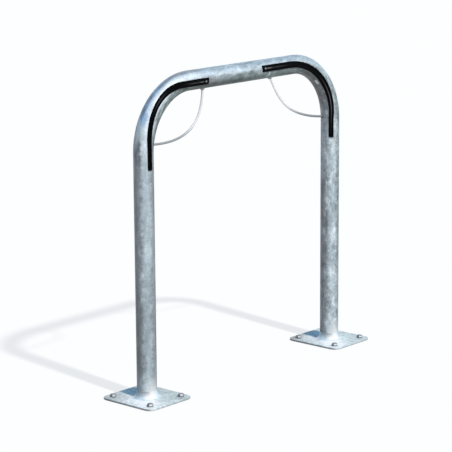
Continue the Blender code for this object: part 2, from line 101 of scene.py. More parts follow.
class StandSizes(bpy.types.PropertyGroup):
    tube_diameter: length("Tube diameter", "Outer diameter of the hoop's tube", TUBE_HIGH.y - TUBE_LOW.y)
    tube_wall: length("Tube wall", "Thickness of the tube's wall", 0.0032)
    leg_spacing: length("Leg spacing", "Between the centres of the two legs", PLATE_HIGH.x + PLATE_LOW.x)
    hoop_height: length("Hoop height", "From the ground to the top of the bar", TUBE_HIGH.z)
    tube_foot: length("Tube foot", "Height of the tube's lower ends", TUBE_LOW.z)
    bend_radius: length("Bend radius", "Of the tube's centre line in both bends", 0.156)
    plate_width: length("Plate width", "Of a base plate along the hoop", PLATE_HIGH.x - PLATE_LOW.x)
    plate_depth: length("Plate depth", "Of a base plate across the hoop", PLATE_HIGH.y - PLATE_LOW.y)
    plate_thickness: length("Plate thickness", "Of a base plate", PLATE_HIGH.z)
    plate_corner: length("Plate corner", "Radius of a plate's corners", 0.019)
    plate_edge: length("Plate edge", "Rounding of a plate's edges", 0.0009)
    hole_inset: length("Hole inset", "From a plate's edge to the centre of its holes", 0.0215)
    hole_diameter: length("Hole diameter", "Of the anchor holes", 0.010)
    drain_diameter: length("Drain diameter", "Of the zinc drain hole under each leg", 0.020)
    weld_height: length("Foot weld height", "Top of the fillet weld above the ground", WELD_HIGH.z)
    weld_diameter: length("Foot weld diameter", "Of the fillet weld on the plate", WELD_HIGH.x - WELD_LOW.x)
    head_flats: length("Head across flats", "Of the anchors' hexagon heads", HEAD_HIGH.x - HEAD_LOW.x)
    head_top: length("Head top", "Top of the anchors' heads above the ground", HEAD_HIGH.z)
    shank_diameter: length("Shank diameter", "Of the anchors", 0.008)
    washer_diameter: length("Washer diameter", "Of the anchors' washers", WASHER_HIGH.x - WASHER_LOW.x)
    washer_bore: length("Washer bore", "Of the anchors' washers", 0.009)
    washer_bottom: length("Washer bottom", "Underside of the washers above the ground", WASHER_LOW.z)
    washer_top: length("Washer top", "Top of the washers above the ground", WASHER_HIGH.z)


@with_sides
class EyeSizes(bpy.types.PropertyGroup):
    bar_diameter: length("Bar diameter", "Of the round locking bars", 0.006)
    top_offset: length("Top offset", "Of the locking bars' top ends across the tube, along +Y", -0.007)
    leg_offset: length("Leg offset", "Of the locking bars' leg ends across the tube, along +Y", 0.007)
    bead_diameter: length("Bead diameter", "Of the weld beads at the bars' ends", 0.0115)
    bead_height: length("Bead height", "Of the weld beads above the tube", 0.0035)
    reach: sided(length, "reach", "Along the bar from a leg's centre line", 0.2000, 0.2497)
    drop: sided(length, "drop", "Down a leg from the bar's centre line", 0.1384, 0.1482)
    top_pull: sided(length, "top pull", "How far a locking bar holds its way from the top", 0.0617, 0.0524)
    leg_pull: sided(length, "leg pull", "How far a locking bar holds its way from the leg", 0.1655, 0.1624)
    top_lean: sided(angle, "top lean", "Of a locking bar's top end towards the leg", 2.5, 32.8)
    leg_rise: sided(angle, "leg rise", "Of a locking bar's lower end", -6.5, 5.7)
    # The sides' paleness also evens out how differently the light falls on the two bars: painted light and shade
    paleness: sided(amount, "paleness", "Of a locking bar's zinc, high up", 0.84, 1.0)
    shine: sided(amount, "shine", "Of a locking bar, 1 for bare metal", 0.15, 0.38)


@with_sides
class StripSizes(bpy.types.PropertyGroup):
    thickness: length("Thickness", "Of a strip at its ribs", 0.0026)
    gap: length("Gap", "Between the tube and the strip", 0.0003)
    bar_end_width: length("Bar end width", "Of a strip at its end on the bar", 0.0163)
    end_round: length("End rounding", "Of the corners at a strip's ends", 0.0022)
    end_band: length("End band", "At a strip's ends, where its groove is closed", 0.0030)
    screw_inset: length("Screw inset", "From the strip's end to its screw", 0.010)
    screw_diameter: length("Screw head diameter", "Of the strips' screws", 0.0054)
    screw_height: length("Screw head height", "Of the strips' screws", 0.0017)
    bar_run: sided(length, "bar run", "Of a strip past the bend, on the bar", 0.0470, 0.1425)
    leg_run: sided(length, "leg run", "Of a strip past the bend, on the leg", 0.0364, 0.0453)
    bar_offset: sided(length, "bar offset", "Of a strip outwards, on the bar", -0.0035, 0.0048)
    leg_offset: sided(length, "leg offset", "Of a strip outwards, on the leg", 0.0036, -0.0169)
    bend_reach: sided(length, "bend reach", "Of a strip's bend, along the bar", 0.115, 0.175)
    bend_drop: sided(length, "bend drop", "Of a strip's bend, down the leg", 0.130, 0.1505)
    leg_end_width: sided(length, "leg end width", "Of a strip at its end on the leg", 0.0114, 0.0126)
    narrow_share: sided(amount, "narrow share", "Of a strip's length, as far as it is narrow", 0.38, 0.07)
    wide_share: sided(amount, "wide share", "Of a strip's length, from where it is wide", 0.77, 0.41)


class StandColours(bpy.types.PropertyGroup):
    zinc: colour("Zinc", "Most of the galvanising", (0.262, 0.287, 0.300))
    # Painted highlight: paler zinc where the light's highlight falls on the tube
    sunny_zinc: colour("Sunny zinc", "Paler zinc on the side that faces the sun", (0.455, 0.540, 0.580))
    # Painted highlight on the upper front of the bar and the right bend
    front_zinc: colour("Front zinc", "Pale zinc on the upper front of the bar and the right bend", (0.52, 0.61, 0.66))
    # Painted highlight: the pale band on the left bend
    bleached_zinc: colour("Bleached zinc", "White band on the left bend", (0.82, 0.88, 0.93))
    # Painted reflection of the sky on faces that look up
    top_zinc: colour("Top zinc", "Bluish zinc on faces that look up", (0.36, 0.455, 0.505))
    # Painted reflections of the sky on the outside of the left bend
    sky_zinc: colour("Sky side zinc", "Dark blue on the outside of the left bend", (0.12, 0.19, 0.29))
    blue_zinc: colour("Blue zinc", "Bright blue patches on the outside of the left bend", (0.24, 0.41, 0.60))
    cyan_zinc: colour("Cyan zinc", "Pale cyan on the left bend, inside and below its blue patches", (0.45, 0.54, 0.55))
    streak_zinc: colour("Streaks", "Dark streaks on the left leg, below the bend", (0.15, 0.16, 0.20))
    # Partly pale flakes in the zinc, partly painted glints on the side towards the light
    flake_zinc: colour("Zinc flakes", "Pale flakes in the zinc", (0.78, 0.84, 0.86))
    # Painted shade on the undersides
    patina: colour("Patina", "Weathered undersides", (0.163, 0.168, 0.160))
    # Greenish painted shade on the far side of the bar and the right leg
    sheltered_zinc: colour("Sheltered zinc", "Greenish wash on the bar's and right leg's far side", (0.25, 0.38, 0.37))
    # Painted shade on the side away from the light
    damp_zinc: colour("Damp side zinc", "Greenish zinc on the side away from the sun", (0.13, 0.165, 0.165))
    green_zinc: colour("Green mottles", "Dark greenish mottles on the bar and the right leg", (0.10, 0.145, 0.135))
    plate_zinc: colour("Plate zinc", "Pale zinc on the plates", (0.73, 0.785, 0.79))
    # Painted light on the plates, from the foot towards the front left corner
    white_plate_zinc: colour("White plate zinc", "White zinc on the plates' bleached corners", (0.93, 0.92, 0.90))
    # Darker zinc on the plates towards +X
    dull_plate_zinc: colour("Dull plate zinc", "Duller zinc on the plates' far side", (0.535, 0.605, 0.60))
    # Painted shadow of the legs on the plates
    blue_plate_zinc: colour("Blue plate zinc", "Bluish zinc on the plates, behind the legs", (0.33, 0.60, 0.71))
    # Painted highlight round the feet and on the welds
    fresh_zinc: colour("Fresh zinc", "White zinc round the feet and on the welds", (0.77, 0.775, 0.76))
    weld_zinc: colour("Weld zinc", "Pale bluish zinc on the foot welds' flanks", (0.55, 0.665, 0.72))
    # Painted shade: the locking bars' darker zinc low down
    bar_zinc: colour("Locking bar zinc", "Galvanising of the locking bars, low down", (0.325, 0.355, 0.355))
    pale_bar_zinc: colour("Pale bar zinc", "Galvanising of the locking bars, high up", (0.98, 0.985, 0.98))
    # Painted highlight on the anchors' side towards the light; the dark colour below is painted shade on the rest
    bolt: colour("Bolts", "Bright plating on the anchors' sunny side", (0.78, 0.80, 0.81))
    dull_bolt: colour("Dull bolts", "Dulled plating on the rest of the anchors", (0.24, 0.245, 0.25))
    # Dark washers: partly their own darker zinc, partly painted shade round the anchors' heads
    washer: colour("Washers", "Dulled washers", (0.21, 0.22, 0.225))
    screw: colour("Strip screws", "Dulled screws in the strips", (0.26, 0.28, 0.29))
    rubber: colour("Rubber", "Protector strips", (0.0015, 0.0018, 0.0023))
    dust: colour("Dust", "Dust in the strips' grooves", (0.40, 0.42, 0.43))
    floor: colour("Floor", "Pale floor", (0.97, 0.95, 0.92))
    sky_top: colour("Light from above", "Soft light from overhead", (0.36, 0.61, 1.0))
    sky_side: colour("Light from the side", "Soft light from the sides", (0.86, 0.93, 1.0))


class Signal:
    """A shader socket that can be used in arithmetic, which adds Math nodes."""

    def __init__(self, tree, socket):
        self.tree = tree
        self.socket = socket

    def maths(self, operation, first, second=None):
        inputs = {0: first} if second is None else {0: first, 1: second}
        return self.tree.node("ShaderNodeMath", {"operation": operation}, inputs)

    def __add__(self, other):
        return self.maths("ADD", self, other)

    def __radd__(self, other):
        return self.maths("ADD", other, self)

    def __sub__(self, other):
        return self.maths("SUBTRACT", self, other)

    def __rsub__(self, other):
        return self.maths("SUBTRACT", other, self)

    def __mul__(self, other):
        return self.maths("MULTIPLY", self, other)

    def __rmul__(self, other):
        return self.maths("MULTIPLY", other, self)

    def size(self):
        """Without its sign."""
        return self.maths("ABSOLUTE", self)

    def limited(self):
        """Held between 0 and 1."""
        return self.tree.node("ShaderNodeClamp", {}, {0: self})

    def between(self, low, high):
        """0 below low, 1 above high and smooth between them."""
        settings = {"interpolation_type": "SMOOTHSTEP"}
        return self.tree.node("ShaderNodeMapRange", settings, {"Value": self, "From Min": low, "From Max": high})


class Recipe:
    """Adds nodes to the node tree of a material or a world."""

    def __init__(self, node_tree):
        self.node_tree = node_tree

    def node(self, kind, settings=None, inputs=None, output=0):
        made = self.node_tree.nodes.new(kind)
        for key, value in (settings or {}).items():
            setattr(made, key, value)
        for key, value in (inputs or {}).items():
            self.feed(made.inputs[key], value)
        return Signal(self, made.outputs[output])

    def feed(self, socket, value):
        """Links or sets a socket. A colour without alpha fits one with it."""
        if isinstance(value, Signal):
            self.node_tree.links.new(value.socket, socket)
        elif isinstance(value, (int, float)):
            socket.default_value = value
        else:
            socket.default_value = (*value, 1.0)[:len(socket.default_value)]

    def mix(self, share, first, second):
        """A colour between first and second."""
        settings = {"data_type": "RGBA"}
        return self.node("ShaderNodeMix", settings, {"Factor": share, 6: first, 7: second}, output=2)

    def shade(self, tint, factor):
        """A colour made lighter or darker by a factor."""
        grey = self.node("ShaderNodeCombineXYZ", {}, {0: factor, 1: factor, 2: factor})
        return self.node("ShaderNodeVectorMath", {"operation": "MULTIPLY"}, {0: tint, 1: grey})

    def facing(self, direction):
        """1 where the surface faces a direction, 0 where it stands edge-on and -1 where it faces away."""
        inputs = {0: self.node("ShaderNodeNewGeometry", output="Normal"), 1: Vector(direction).normalized()}
        return self.node("ShaderNodeVectorMath", {"operation": "DOT_PRODUCT"}, inputs, "Value")

    def away(self, place, point):
        return self.node("ShaderNodeVectorMath", {"operation": "DISTANCE"}, {0: place, 1: point}, "Value")

    def axis(self, place, name):
        return self.node("ShaderNodeSeparateXYZ", {}, {0: place}, name)

    def position(self):
        return self.node("ShaderNodeTexCoord", output="Object")

    def attribute(self, name, output):
        return self.node("ShaderNodeAttribute", {"attribute_name": name}, {}, output)

    def noise(self, place, scale, detail=2.0, roughness=0.5, distortion=0.0):
        inputs = {"Vector": place, "Scale": scale, "Detail": detail, "Roughness": roughness, "Distortion": distortion}
        return self.node("ShaderNodeTexNoise", {}, inputs)

    def cells(self, place, scale):
        """A random value in each cell of a crystal pattern."""
        tint = self.node("ShaderNodeTexVoronoi", {}, {"Vector": place, "Scale": scale}, output="Color")
        return self.node("ShaderNodeSeparateColor", {}, {0: tint})

    def stretched(self, place, share):
        """A place on which patterns run further along the third axis, or less far where the share is over 1."""
        return self.node("ShaderNodeMapping", {"vector_type": "POINT"}, {"Vector": place, "Scale": (1.0, 1.0, share)})

    def shown(self):
        """1 for what is seen, also in metal and through glass, and 0 for the light that falls on the stand."""
        kinds = ("Camera", "Glossy", "Transmission")
        seen, glossy, through = (self.node("ShaderNodeLightPath", output=f"Is {kind} Ray") for kind in kinds)
        return (seen + glossy + through).limited()

    def dress(self, tint, roughness, relief, depth, strength):
        """Feeds the material's shader its colour, its roughness and its relief."""
        bump = self.node("ShaderNodeBump", {}, {"Height": relief, "Distance": depth, "Strength": strength})
        for key, value in {"Base Color": tint, "Roughness": roughness, "Normal": bump}.items():
            self.feed(self.node_tree.nodes["Principled BSDF"].inputs[key], value)


def new_look(name, metallic, specular=0.5):
    """A Principled material with its unvarying values set, and a recipe for the rest."""
    look = bpy.data.materials.new(name)
    look.use_nodes = True
    inputs = look.node_tree.nodes["Principled BSDF"].inputs
    inputs["Metallic"].default_value = metallic
    inputs["Specular IOR Level"].default_value = specular
    return look, Recipe(look.node_tree)


# Ways that the finishes turn to: straight ones first, then towards the side where a highlight is painted, the side away
# from it where shade is painted, and those between them for other painted highlights, sky reflections, glints and shade
UP = (0.0, 0.0, 1.0)
DOWN = (0.0, 0.0, -1.0)
FRONT = (0.0, -1.0, 0.0)
HIGHLIGHT_SIDE = (-0.515, -0.757, 0.40)
SHADED_SIDE = (0.80, -0.50, -0.33)
UPPER_FRONT = (0.25, -0.80, 0.55)
FLAKE_GLINT_SIDE = (-0.68, -0.70, 0.22)
SKY_SIDE = (-0.75, 0.10, 0.65)
LEG_HIGHLIGHT_SIDE = (0.34, -0.94, 0.0)
FASTENER_SUN = (-0.55, -0.75, 0.35)
# From a leg's foot towards the corner of its plate where light is painted, towards the side of the tube where a
# highlight is painted there, and towards the weld's side with a painted highlight and its side with painted shade
LIGHT_POOL_WAY = Vector((-0.66, -0.75, 0.0))
FOOT_HIGHLIGHT_WAY = Vector((-0.19, -0.98, 0.0))
WELD_HIGHLIGHT_WAY = Vector((-0.46, -0.89, 0.0))
WELD_SHADE_WAY = Vector((-0.95, -0.30, 0.0))


# Single marks in the hoop's zinc, in millimetres: the middle (across the hoop, outwards, along the straightened
# tube), how far the mark reaches each way, its colour and its strength
# Marks in the sky reflection colours are painted reflections of the sky, those in the highlight colours are painted
# highlights, and the flakes are partly painted glints.
MARKS = (
    ((-6, 23.4, 669), (12, 12, 22), "blue_zinc", 0.75),
    ((-5, 23.6, 637), (17, 17, 32), "cyan_zinc", 0.75),
    ((-6, 23.4, 612), (6, 6, 20), "streak_zinc", 0.85),
    ((-8.3, 22.7, 585), (6, 6, 22), "streak_zinc", 0.8),
    ((2, 24, 590), (6, 6, 28), "streak_zinc", 0.6),
    ((11, 21.5, 580), (6, 6, 50), "flake_zinc", 0.3),
    ((6, 23.4, 640), (10, 10, 50), "cyan_zinc", 0.55),
    ((1, 24.1, 800), (5, 5, 18), "streak_zinc", 0.7),
    ((-10, 22, 818), (5, 5, 12), "sky_zinc", 0.45),
    ((-13.9, 19.8, 985), (12, 12, 50), "front_zinc", 0.5),
    ((-23.6, 5, 1350), (9, 9, 50), "front_zinc", 0.5),
    ((-24.1, 0.4, 964), (6, 6, 14), "green_zinc", 0.3),
    ((-23.9, -3.4, 1002), (7, 7, 20), "green_zinc", 0.65),
    ((-24.1, -1.5, 1042), (6, 6, 20), "green_zinc", 0.6),
    ((-22.8, 7.9, 1412), (6, 6, 12), "green_zinc", 0.45),
    ((-23.5, 5, 1468), (6, 6, 22), "green_zinc", 0.5),
    ((-4.5, -23.7, 1270), (10, 10, 60), "zinc", 0.35),
    ((6, -23.4, 1540), (13, 13, 100), "sunny_zinc", 0.9),
    ((-21.7, -10.6, 1114), (5, 10, 5), "flake_zinc", 0.45),
    ((-23.7, -4.6, 1098), (4, 4, 4), "flake_zinc", 0.35),
    ((-11.3, -21.3, 1336), (4.5, 4.5, 13), "flake_zinc", 0.95),
    ((-7.9, -22.8, 1451), (6, 6, 9), "flake_zinc", 0.35),
    ((-19.8, -13.9, 1526), (8, 8, 5), "flake_zinc", 0.7),
    ((-20.5, -12.8, 1550), (7, 7, 16), "flake_zinc", 0.45),
    ((-12.5, 20.7, 408), (5, 5, 7), "flake_zinc", 0.4),
    ((-12.5, 20.7, 310), (4.5, 4.5, 6), "flake_zinc", 0.4),
    ((-13.9, 19.8, 272), (5.5, 5.5, 9), "flake_zinc", 0.45),
    ((-12.5, 20.7, 250), (7, 7, 6), "flake_zinc", 0.5),
    ((-15.5, -18.5, 1639), (6.5, 6.5, 9), "flake_zinc", 0.55),
    ((-20.2, -13.2, 1774), (10, 10, 16), "flake_zinc", 0.35),
    ((-20.2, -13.2, 1874), (12, 12, 18), "flake_zinc", 0.4),
    ((-23.8, -4, 1707), (6.5, 6.5, 14), "green_zinc", 0.5),
)


def mark(recipe, place, middle, reach, wander, turn=0.0, edge=(0.25, 1.20)):
    """1 in the middle of an oval patch and 0 outside it, with a wandering edge."""
    inputs = {"Vector": place, "Location": middle, "Rotation": (0.0, 0.0, turn), "Scale": reach}
    oval = recipe.node("ShaderNodeMapping", {"vector_type": "TEXTURE"}, inputs)
    return 1.0 - (recipe.away(oval, (0.0, 0.0, 0.0)) + wander).between(*edge)


def foot_place(sizes, side):
    """The middle of a leg's foot, on top of its plate."""
    return Vector((SIDES[side] * sizes.leg_spacing / 2, 0.0, sizes.plate_thickness))


def mottling(recipe, place, cloudiness, depth):
    """A factor round 1 for the zinc's clouds, streaks and crystals, and the relief that goes with it."""
    streaks = recipe.stretched(place, 0.42)
    clouds = recipe.noise(streaks, 34.0, 3.0, 0.55, 0.3)
    mottles = recipe.noise(streaks, 105.0, 4.0, 0.6, 0.3)
    specks = recipe.noise(place, 220.0, 3.0, 0.55)
    crystals = recipe.cells(place, 260.0)
    factor = 1.0 + (clouds - 0.5) * cloudiness + ((mottles - 0.5) * 1.1 + (specks - 0.5) * 0.6) * depth
    factor = factor + (crystals - 0.5) * 0.08
    return factor, mottles * 0.6 + crystals * 0.1 + specks * 0.3


def galvanised_look(name, colours, sizes):
    """Hot-dip zinc on the tube, with painted highlights towards the light and at the feet, painted sky reflections on
    top and painted shade below and away from the light.
    """
    look, recipe = new_look(name, metallic=0.22, specular=0.4)
    place = recipe.attribute("unbent", "Vector")
    along = recipe.axis(place, "Z")
    outwards = recipe.axis(place, "Y")
    past_left_bend = along.between(0.80, 1.00)
    on_left_leg = 1.0 - along.between(0.42, 0.52)
    on_left_bend = along.between(0.52, 0.66) * (1.0 - along.between(0.80, 0.92))
    factor, relief = mottling(recipe, place, 0.50 + past_left_bend * 0.65, 0.75 + past_left_bend * 0.65)
    wander = (recipe.noise(recipe.stretched(place, 0.5), 26.0, 3.0, 0.6) - 0.5) * 0.35
    dashes = (recipe.noise(recipe.stretched(place, 2.0), 66.0, 3.0, 0.6) - 0.5) * 0.45
    # Painted highlight: where the light's highlight falls, the tube is tinted paler
    sunny = (recipe.facing(HIGHLIGHT_SIDE) + wander + dashes * (1.0 - on_left_bend)).between(0.68, 0.93)
    # Painted reflection of the sky: dark and bright blue patches
    patches = recipe.noise(recipe.stretched(place, 0.5), 48.0, 3.0, 0.55, 0.4)
    sky = recipe.mix(patches.between(0.42, 0.62), colours.sky_zinc, colours.blue_zinc)
    fine = recipe.noise(recipe.stretched(place, 0.35), 115.0, 3.0, 0.6, 0.4)
    inner = recipe.mix(fine.between(0.43, 0.68), colours.green_zinc, colours.cyan_zinc)
    # Greenish painted shade on the far side of the bar and the right leg, with pale and dark mottles in it
    far_side_shade = recipe.facing(SHADED_SIDE).between(0.28, 0.75) * along.between(0.86, 1.00)
    # Pale flakes, painted mostly on the side towards the light: partly the zinc's flakes, partly painted glints
    flakes = recipe.noise(recipe.stretched(place, 0.6), 52.0, 4.0, 0.6, 0.5).between(0.47, 0.66)
    flake_glint_share = (0.26 + past_left_bend * 0.34) * recipe.facing(FLAKE_GLINT_SIDE).between(0.45, 0.95)
    blotches = recipe.noise(recipe.stretched(place, 0.7), 90.0, 4.0, 0.6, 0.4)
    layers = [
        # Painted reflection of the sky on the outside of the left bend
        ((recipe.facing(SKY_SIDE) + wander).between(0.72, 1.0), sky),
        # Painted shade on the undersides
        ((recipe.facing(DOWN) + wander).between(0.10, 0.62), colours.patina),
        # Painted highlight down the left leg
        (recipe.facing(LEG_HIGHLIGHT_SIDE).between(0.93, 0.985) * on_left_leg * 0.28, colours.sunny_zinc),
        (sunny, colours.sunny_zinc),
        # Painted highlight on the upper front
        ((recipe.facing(UPPER_FRONT) + wander * 0.5).between(0.85, 0.97), colours.front_zinc),
        # Painted highlight: the pale band on the left bend
        (sunny * on_left_bend * 0.75, colours.bleached_zinc),
        ((1.0 - outwards.between(0.001, 0.009)) * on_left_bend * 0.85, inner),
        (far_side_shade * 0.50, colours.sheltered_zinc),
        # Painted reflection of the sky on faces that look up
        (recipe.facing(UP).between(0.40, 0.95) * (1.0 - on_left_bend * 0.8), colours.top_zinc),
        # Painted shade on the side away from the light
        ((recipe.facing(SHADED_SIDE) + wander).between(0.64, 0.98), colours.damp_zinc),
        (flakes * flake_glint_share, colours.flake_zinc),
        ((1.0 - blotches.between(0.34, 0.47)) * far_side_shade * 0.60, colours.cyan_zinc),
        (blotches.between(0.51, 0.64) * far_side_shade * 0.75, colours.green_zinc),
    ]
    ragged = (recipe.noise(place, 150.0, 3.0, 0.6) - 0.5) * 1.6
    for *oval, mark_colour, strength in MARKS:
        middle, reach = (tuple(value / 1000 for value in values) for values in oval)
        layers.append((mark(recipe, place, middle, reach, ragged) * strength, getattr(colours, mark_colour)))
    tint = colours.zinc
    for share, layer in layers:
        tint = recipe.mix(share, tint, layer)
    # Darker low on the left leg, and painted shade under the bar
    darker_low_leg = along.between(0.04, 0.12) * (1.0 - along.between(0.20, 0.36))
    on_bar = along.between(0.80, 0.86) * (1.0 - along.between(1.00, 1.14))
    bar_underside_shade = recipe.facing(DOWN).between(0.2, 0.6) * on_bar
    tint = recipe.shade(tint, factor * (1.0 - darker_low_leg * 0.22) * (1.0 - bar_underside_shade * 0.38))
    here = recipe.position()
    # Painted highlight: a pale patch on the front of each foot
    for side in SIDES:
        centre = foot_place(sizes, side) + FOOT_HIGHLIGHT_WAY * 0.024
        glow = mark(recipe, here, centre, (0.027, 0.027, 0.055), wander * 0.8)
        tint = recipe.mix(glow * 0.8, tint, colours.fresh_zinc)
    recipe.dress(tint, 0.64 - factor * 0.10, relief, 0.0005, 0.6)
    return look


def plate_look(name, colours, foot, far_side_level):
    """Pale zinc on a base plate, darker towards +X, with painted light from the foot towards the front left corner, a
    painted leg shadow behind the foot and painted shade on the side faces.
    """
    look, recipe = new_look(name, metallic=0.06, specular=0.2)
    place = recipe.position()
    factor, relief = mottling(recipe, place, 0.8, 1.0)
    wander = recipe.noise(place, 38.0, 3.0, 0.6) - 0.5
    # Darker towards +X
    far_side = (recipe.away(place, foot - Vector((0.20, 0.0, 0.0))) + wander * 0.12).between(0.15, 0.25)
    darker_part = recipe.shade(colours.dull_plate_zinc, far_side_level)
    tint = recipe.mix(far_side, colours.plate_zinc, darker_part)
    east = recipe.axis(place, "X") - foot.x
    north = recipe.axis(place, "Y")
    # Painted shadow of the leg on the plate, behind the foot
    behind = (1.0 - (east - north * 0.14).size().between(0.020, 0.027)) * north.between(0.005, 0.025)
    tint = recipe.mix(behind, tint, colours.blue_plate_zinc)
    back_left = (north * 0.75 - east * 0.66 + wander * 0.02).between(0.02, 0.10) * (1.0 - behind)
    tint = recipe.shade(tint, factor * (1.0 - back_left * 0.42))
    # Painted light: a pale pool from the foot towards the plate's front left corner
    middle, reach = foot + LIGHT_POOL_WAY * 0.042, (0.056, 0.031, 0.056)
    turn = math.atan2(LIGHT_POOL_WAY.y, LIGHT_POOL_WAY.x)
    run = mark(recipe, place, middle, reach, wander * 0.9, turn, (0.35, 1.25))
    tint = recipe.mix(run * 0.9, tint, colours.white_plate_zinc)
    # Painted shade on the plate's side faces, less on those that face the front, where the light falls
    edge = 1.0 - recipe.facing(UP).between(0.1, 0.8)
    lit_edge = recipe.facing(FRONT).between(0.5, 0.9)
    tint = recipe.mix(edge * (0.75 - lit_edge * 0.45), tint, colours.zinc)
    recipe.dress(tint, 0.70 - factor * 0.12, relief, 0.0004, 0.5)
    return look


def foot_weld_look(name, colours, sizes):
    """Slightly lumpy pale zinc on a foot weld, with a painted highlight in front and, high up on one side, painted
    shade as dark as the tube.
    """
    look, recipe = new_look(name, metallic=0.06, specular=0.3)
    place = recipe.position()
    factor, relief = mottling(recipe, place, 0.5, 0.9)
    wander = (recipe.noise(place, 60.0, 3.0, 0.6) - 0.5) * 0.25
    # Painted highlight on the weld's side towards the light
    highlight = (recipe.facing(WELD_HIGHLIGHT_WAY + Vector((0.0, 0.0, 0.45))) + wander).between(0.70, 0.94)
    tint = recipe.mix(highlight, recipe.shade(colours.weld_zinc, factor), colours.fresh_zinc)
    height = recipe.axis(place, "Z")
    upper = height.between(sizes.plate_thickness, sizes.weld_height)
    # Painted shade high up on the weld's shaded side
    darker_part = recipe.facing(WELD_SHADE_WAY).between(0.62, 0.95) * upper
    tint = recipe.mix(darker_part * 0.9, tint, colours.zinc)
    recipe.dress(tint, 0.70 - factor * 0.10, relief, 0.0005, 0.6)
    return look


def bead_look(name, colours, shade, brightness):
    """Slightly lumpy zinc over a small weld, paled by a painted highlight as far as the share given, most on its side
    towards the light, and darkened by the brightness given.
    """
    look, recipe = new_look(name, metallic=0.12, specular=0.35)
    place = recipe.position()
    factor, relief = mottling(recipe, place, 0.4, 0.8)
    tint = recipe.mix(0.62 * shade, colours.zinc, colours.fresh_zinc)
    tint = recipe.shade(tint, factor * brightness)
    # Painted highlight on the bead's side towards the light
    lit = recipe.facing(HIGHLIGHT_SIDE).between(0.35, 0.85)
    tint = recipe.mix(lit * shade, tint, colours.fresh_zinc)
    recipe.dress(tint, 0.66 - factor * 0.10, relief, 0.0005, 0.6)
    return look


# Heights between which the locking bars turn pale
PALING = (0.612, 0.655)


def bar_look(name, colours, paleness, shine):
    """Smooth zinc on the locking bars, paler towards the top; the darker zinc low down is painted shade."""
    look, recipe = new_look(name, metallic=shine, specular=0.3)
    place = recipe.position()
    height = recipe.axis(place, "Z")
    factor = 0.94 + recipe.noise(place, 150.0, 3.0, 0.55) * 0.12
    pale = recipe.shade(colours.pale_bar_zinc, paleness)
    tint = recipe.mix(height.between(*PALING), colours.bar_zinc, pale)
    recipe.dress(recipe.shade(tint, factor), 0.62 - factor * 0.12, recipe.noise(place, 500.0, 2.0), 0.0001, 0.5)
    return look


def fastener_look(name, colours, tint, highlight_tint):
    """Zinc plating with fine wear and some darker stains, of another tint on the side towards the light, which is a
    painted highlight where the tints differ.
    """
    look, recipe = new_look(name, metallic=0.45)
    place = recipe.position()
    wear = recipe.noise(place, 900.0, 3.0, 0.6)
    stain = recipe.noise(place, 260.0, 2.0, 0.5).between(0.45, 0.75)
    # Painted highlight: the side towards the light takes the second tint
    sunny = recipe.facing(FASTENER_SUN).between(0.72, 0.92)
    tint = recipe.mix(sunny, tint, recipe.mix(stain * 0.30, highlight_tint, colours.zinc))
    recipe.dress(tint, 0.34 + wear * 0.22, wear, 0.0002, 0.4)
    return look


def rubber_look(name, colours):
    """Satin black rubber with dust in the groove."""
    look, recipe = new_look(name, metallic=0.0, specular=0.02)
    place = recipe.position()
    dusty = recipe.attribute("dust", "Fac")
    grit = recipe.noise(place, 320.0, 4.0, 0.6)
    dust = (dusty * (0.4 + grit * 1.2)).limited()
    recipe.dress(recipe.mix(dust, colours.rubber, colours.dust), 0.40 + grit * 0.14 + dusty * 0.2, grit, 0.0002, 0.35)
    return look


# Vertices closer together than this are merged
MERGE_DISTANCE = 0.00001
# Between an anchor's head and its washer, and from the ground down to the floor
SEAT_GAP = 0.0003
# The dome that rounds an anchor's head: its radius and how far its edge slopes, as shares of the head's flats
DOME_RADIUS, DOME_SLOPE = 0.583, 0.24
# The cross recess in a strip's screw: length and width as shares of the head's radius, depth as a share of its height,
# and its turn in radians
SLOT_LENGTH, SLOT_WIDTH, SLOT_DEPTH, SLOT_TURN = 1.1, 0.22, 1.1, 0.5
# How far the locking bars run into the tube at their ends
BAR_RUN_IN = 0.003
# How far the foot welds run into the tube and the plate, and the depths of their fine and broad ripples
WELD_OVERLAP = 0.0001
FINE_RIPPLE = 0.00018
BROAD_RIPPLE = 0.00022
# How far a small weld bead swells and sinks round its middle, as a share of its radius
BEAD_LUMPS = 0.05
# The bevels on the washers' and the strips' edges
WASHER_EDGE, STRIP_EDGE = 0.0002, 0.0003
# The steps that a bend of the tube and a foot weld's slope are drawn in
BEND_STEPS, WELD_STEPS = 48, 10


def clear_selection():
    if bpy.context.object and bpy.context.object.mode != "OBJECT":
        bpy.ops.object.mode_set(mode="OBJECT")
    bpy.ops.object.select_all(action="DESELECT")


def pick(item):
    clear_selection()
    item.select_set(True)
    bpy.context.view_layer.objects.active = item


def discard(item):
    bpy.data.objects.remove(item, do_unlink=True)


def start(add, **settings):
    """Adds a primitive, alone in the selection and with its place in its mesh."""
    clear_selection()
    add(**settings)
    bpy.ops.object.transform_apply(location=True, rotation=True, scale=True)
    return bpy.context.object


def cylinder(vertices, radius, low, high, x=0.0, y=0.0):
    """Adds an upright cylinder between two heights."""
    place = (x, y, (low + high) / 2)
    return start(
        bpy.ops.mesh.primitive_cylinder_add, vertices=vertices, radius=radius, depth=high - low, location=place
    )


def apply_modifier(item, kind, **settings):
    pick(item)
    modifier = item.modifiers.new(kind.title(), kind)
    for key, value in settings.items():
        setattr(modifier, key, value)
    bpy.ops.object.modifier_apply(modifier=modifier.name)


def edit_all(item):
    pick(item)
    bpy.ops.object.mode_set(mode="EDIT")
    bpy.ops.mesh.select_mode(type="VERT")
    bpy.ops.mesh.select_all(action="SELECT")


def leave_edit():
    bpy.ops.object.mode_set(mode="OBJECT")


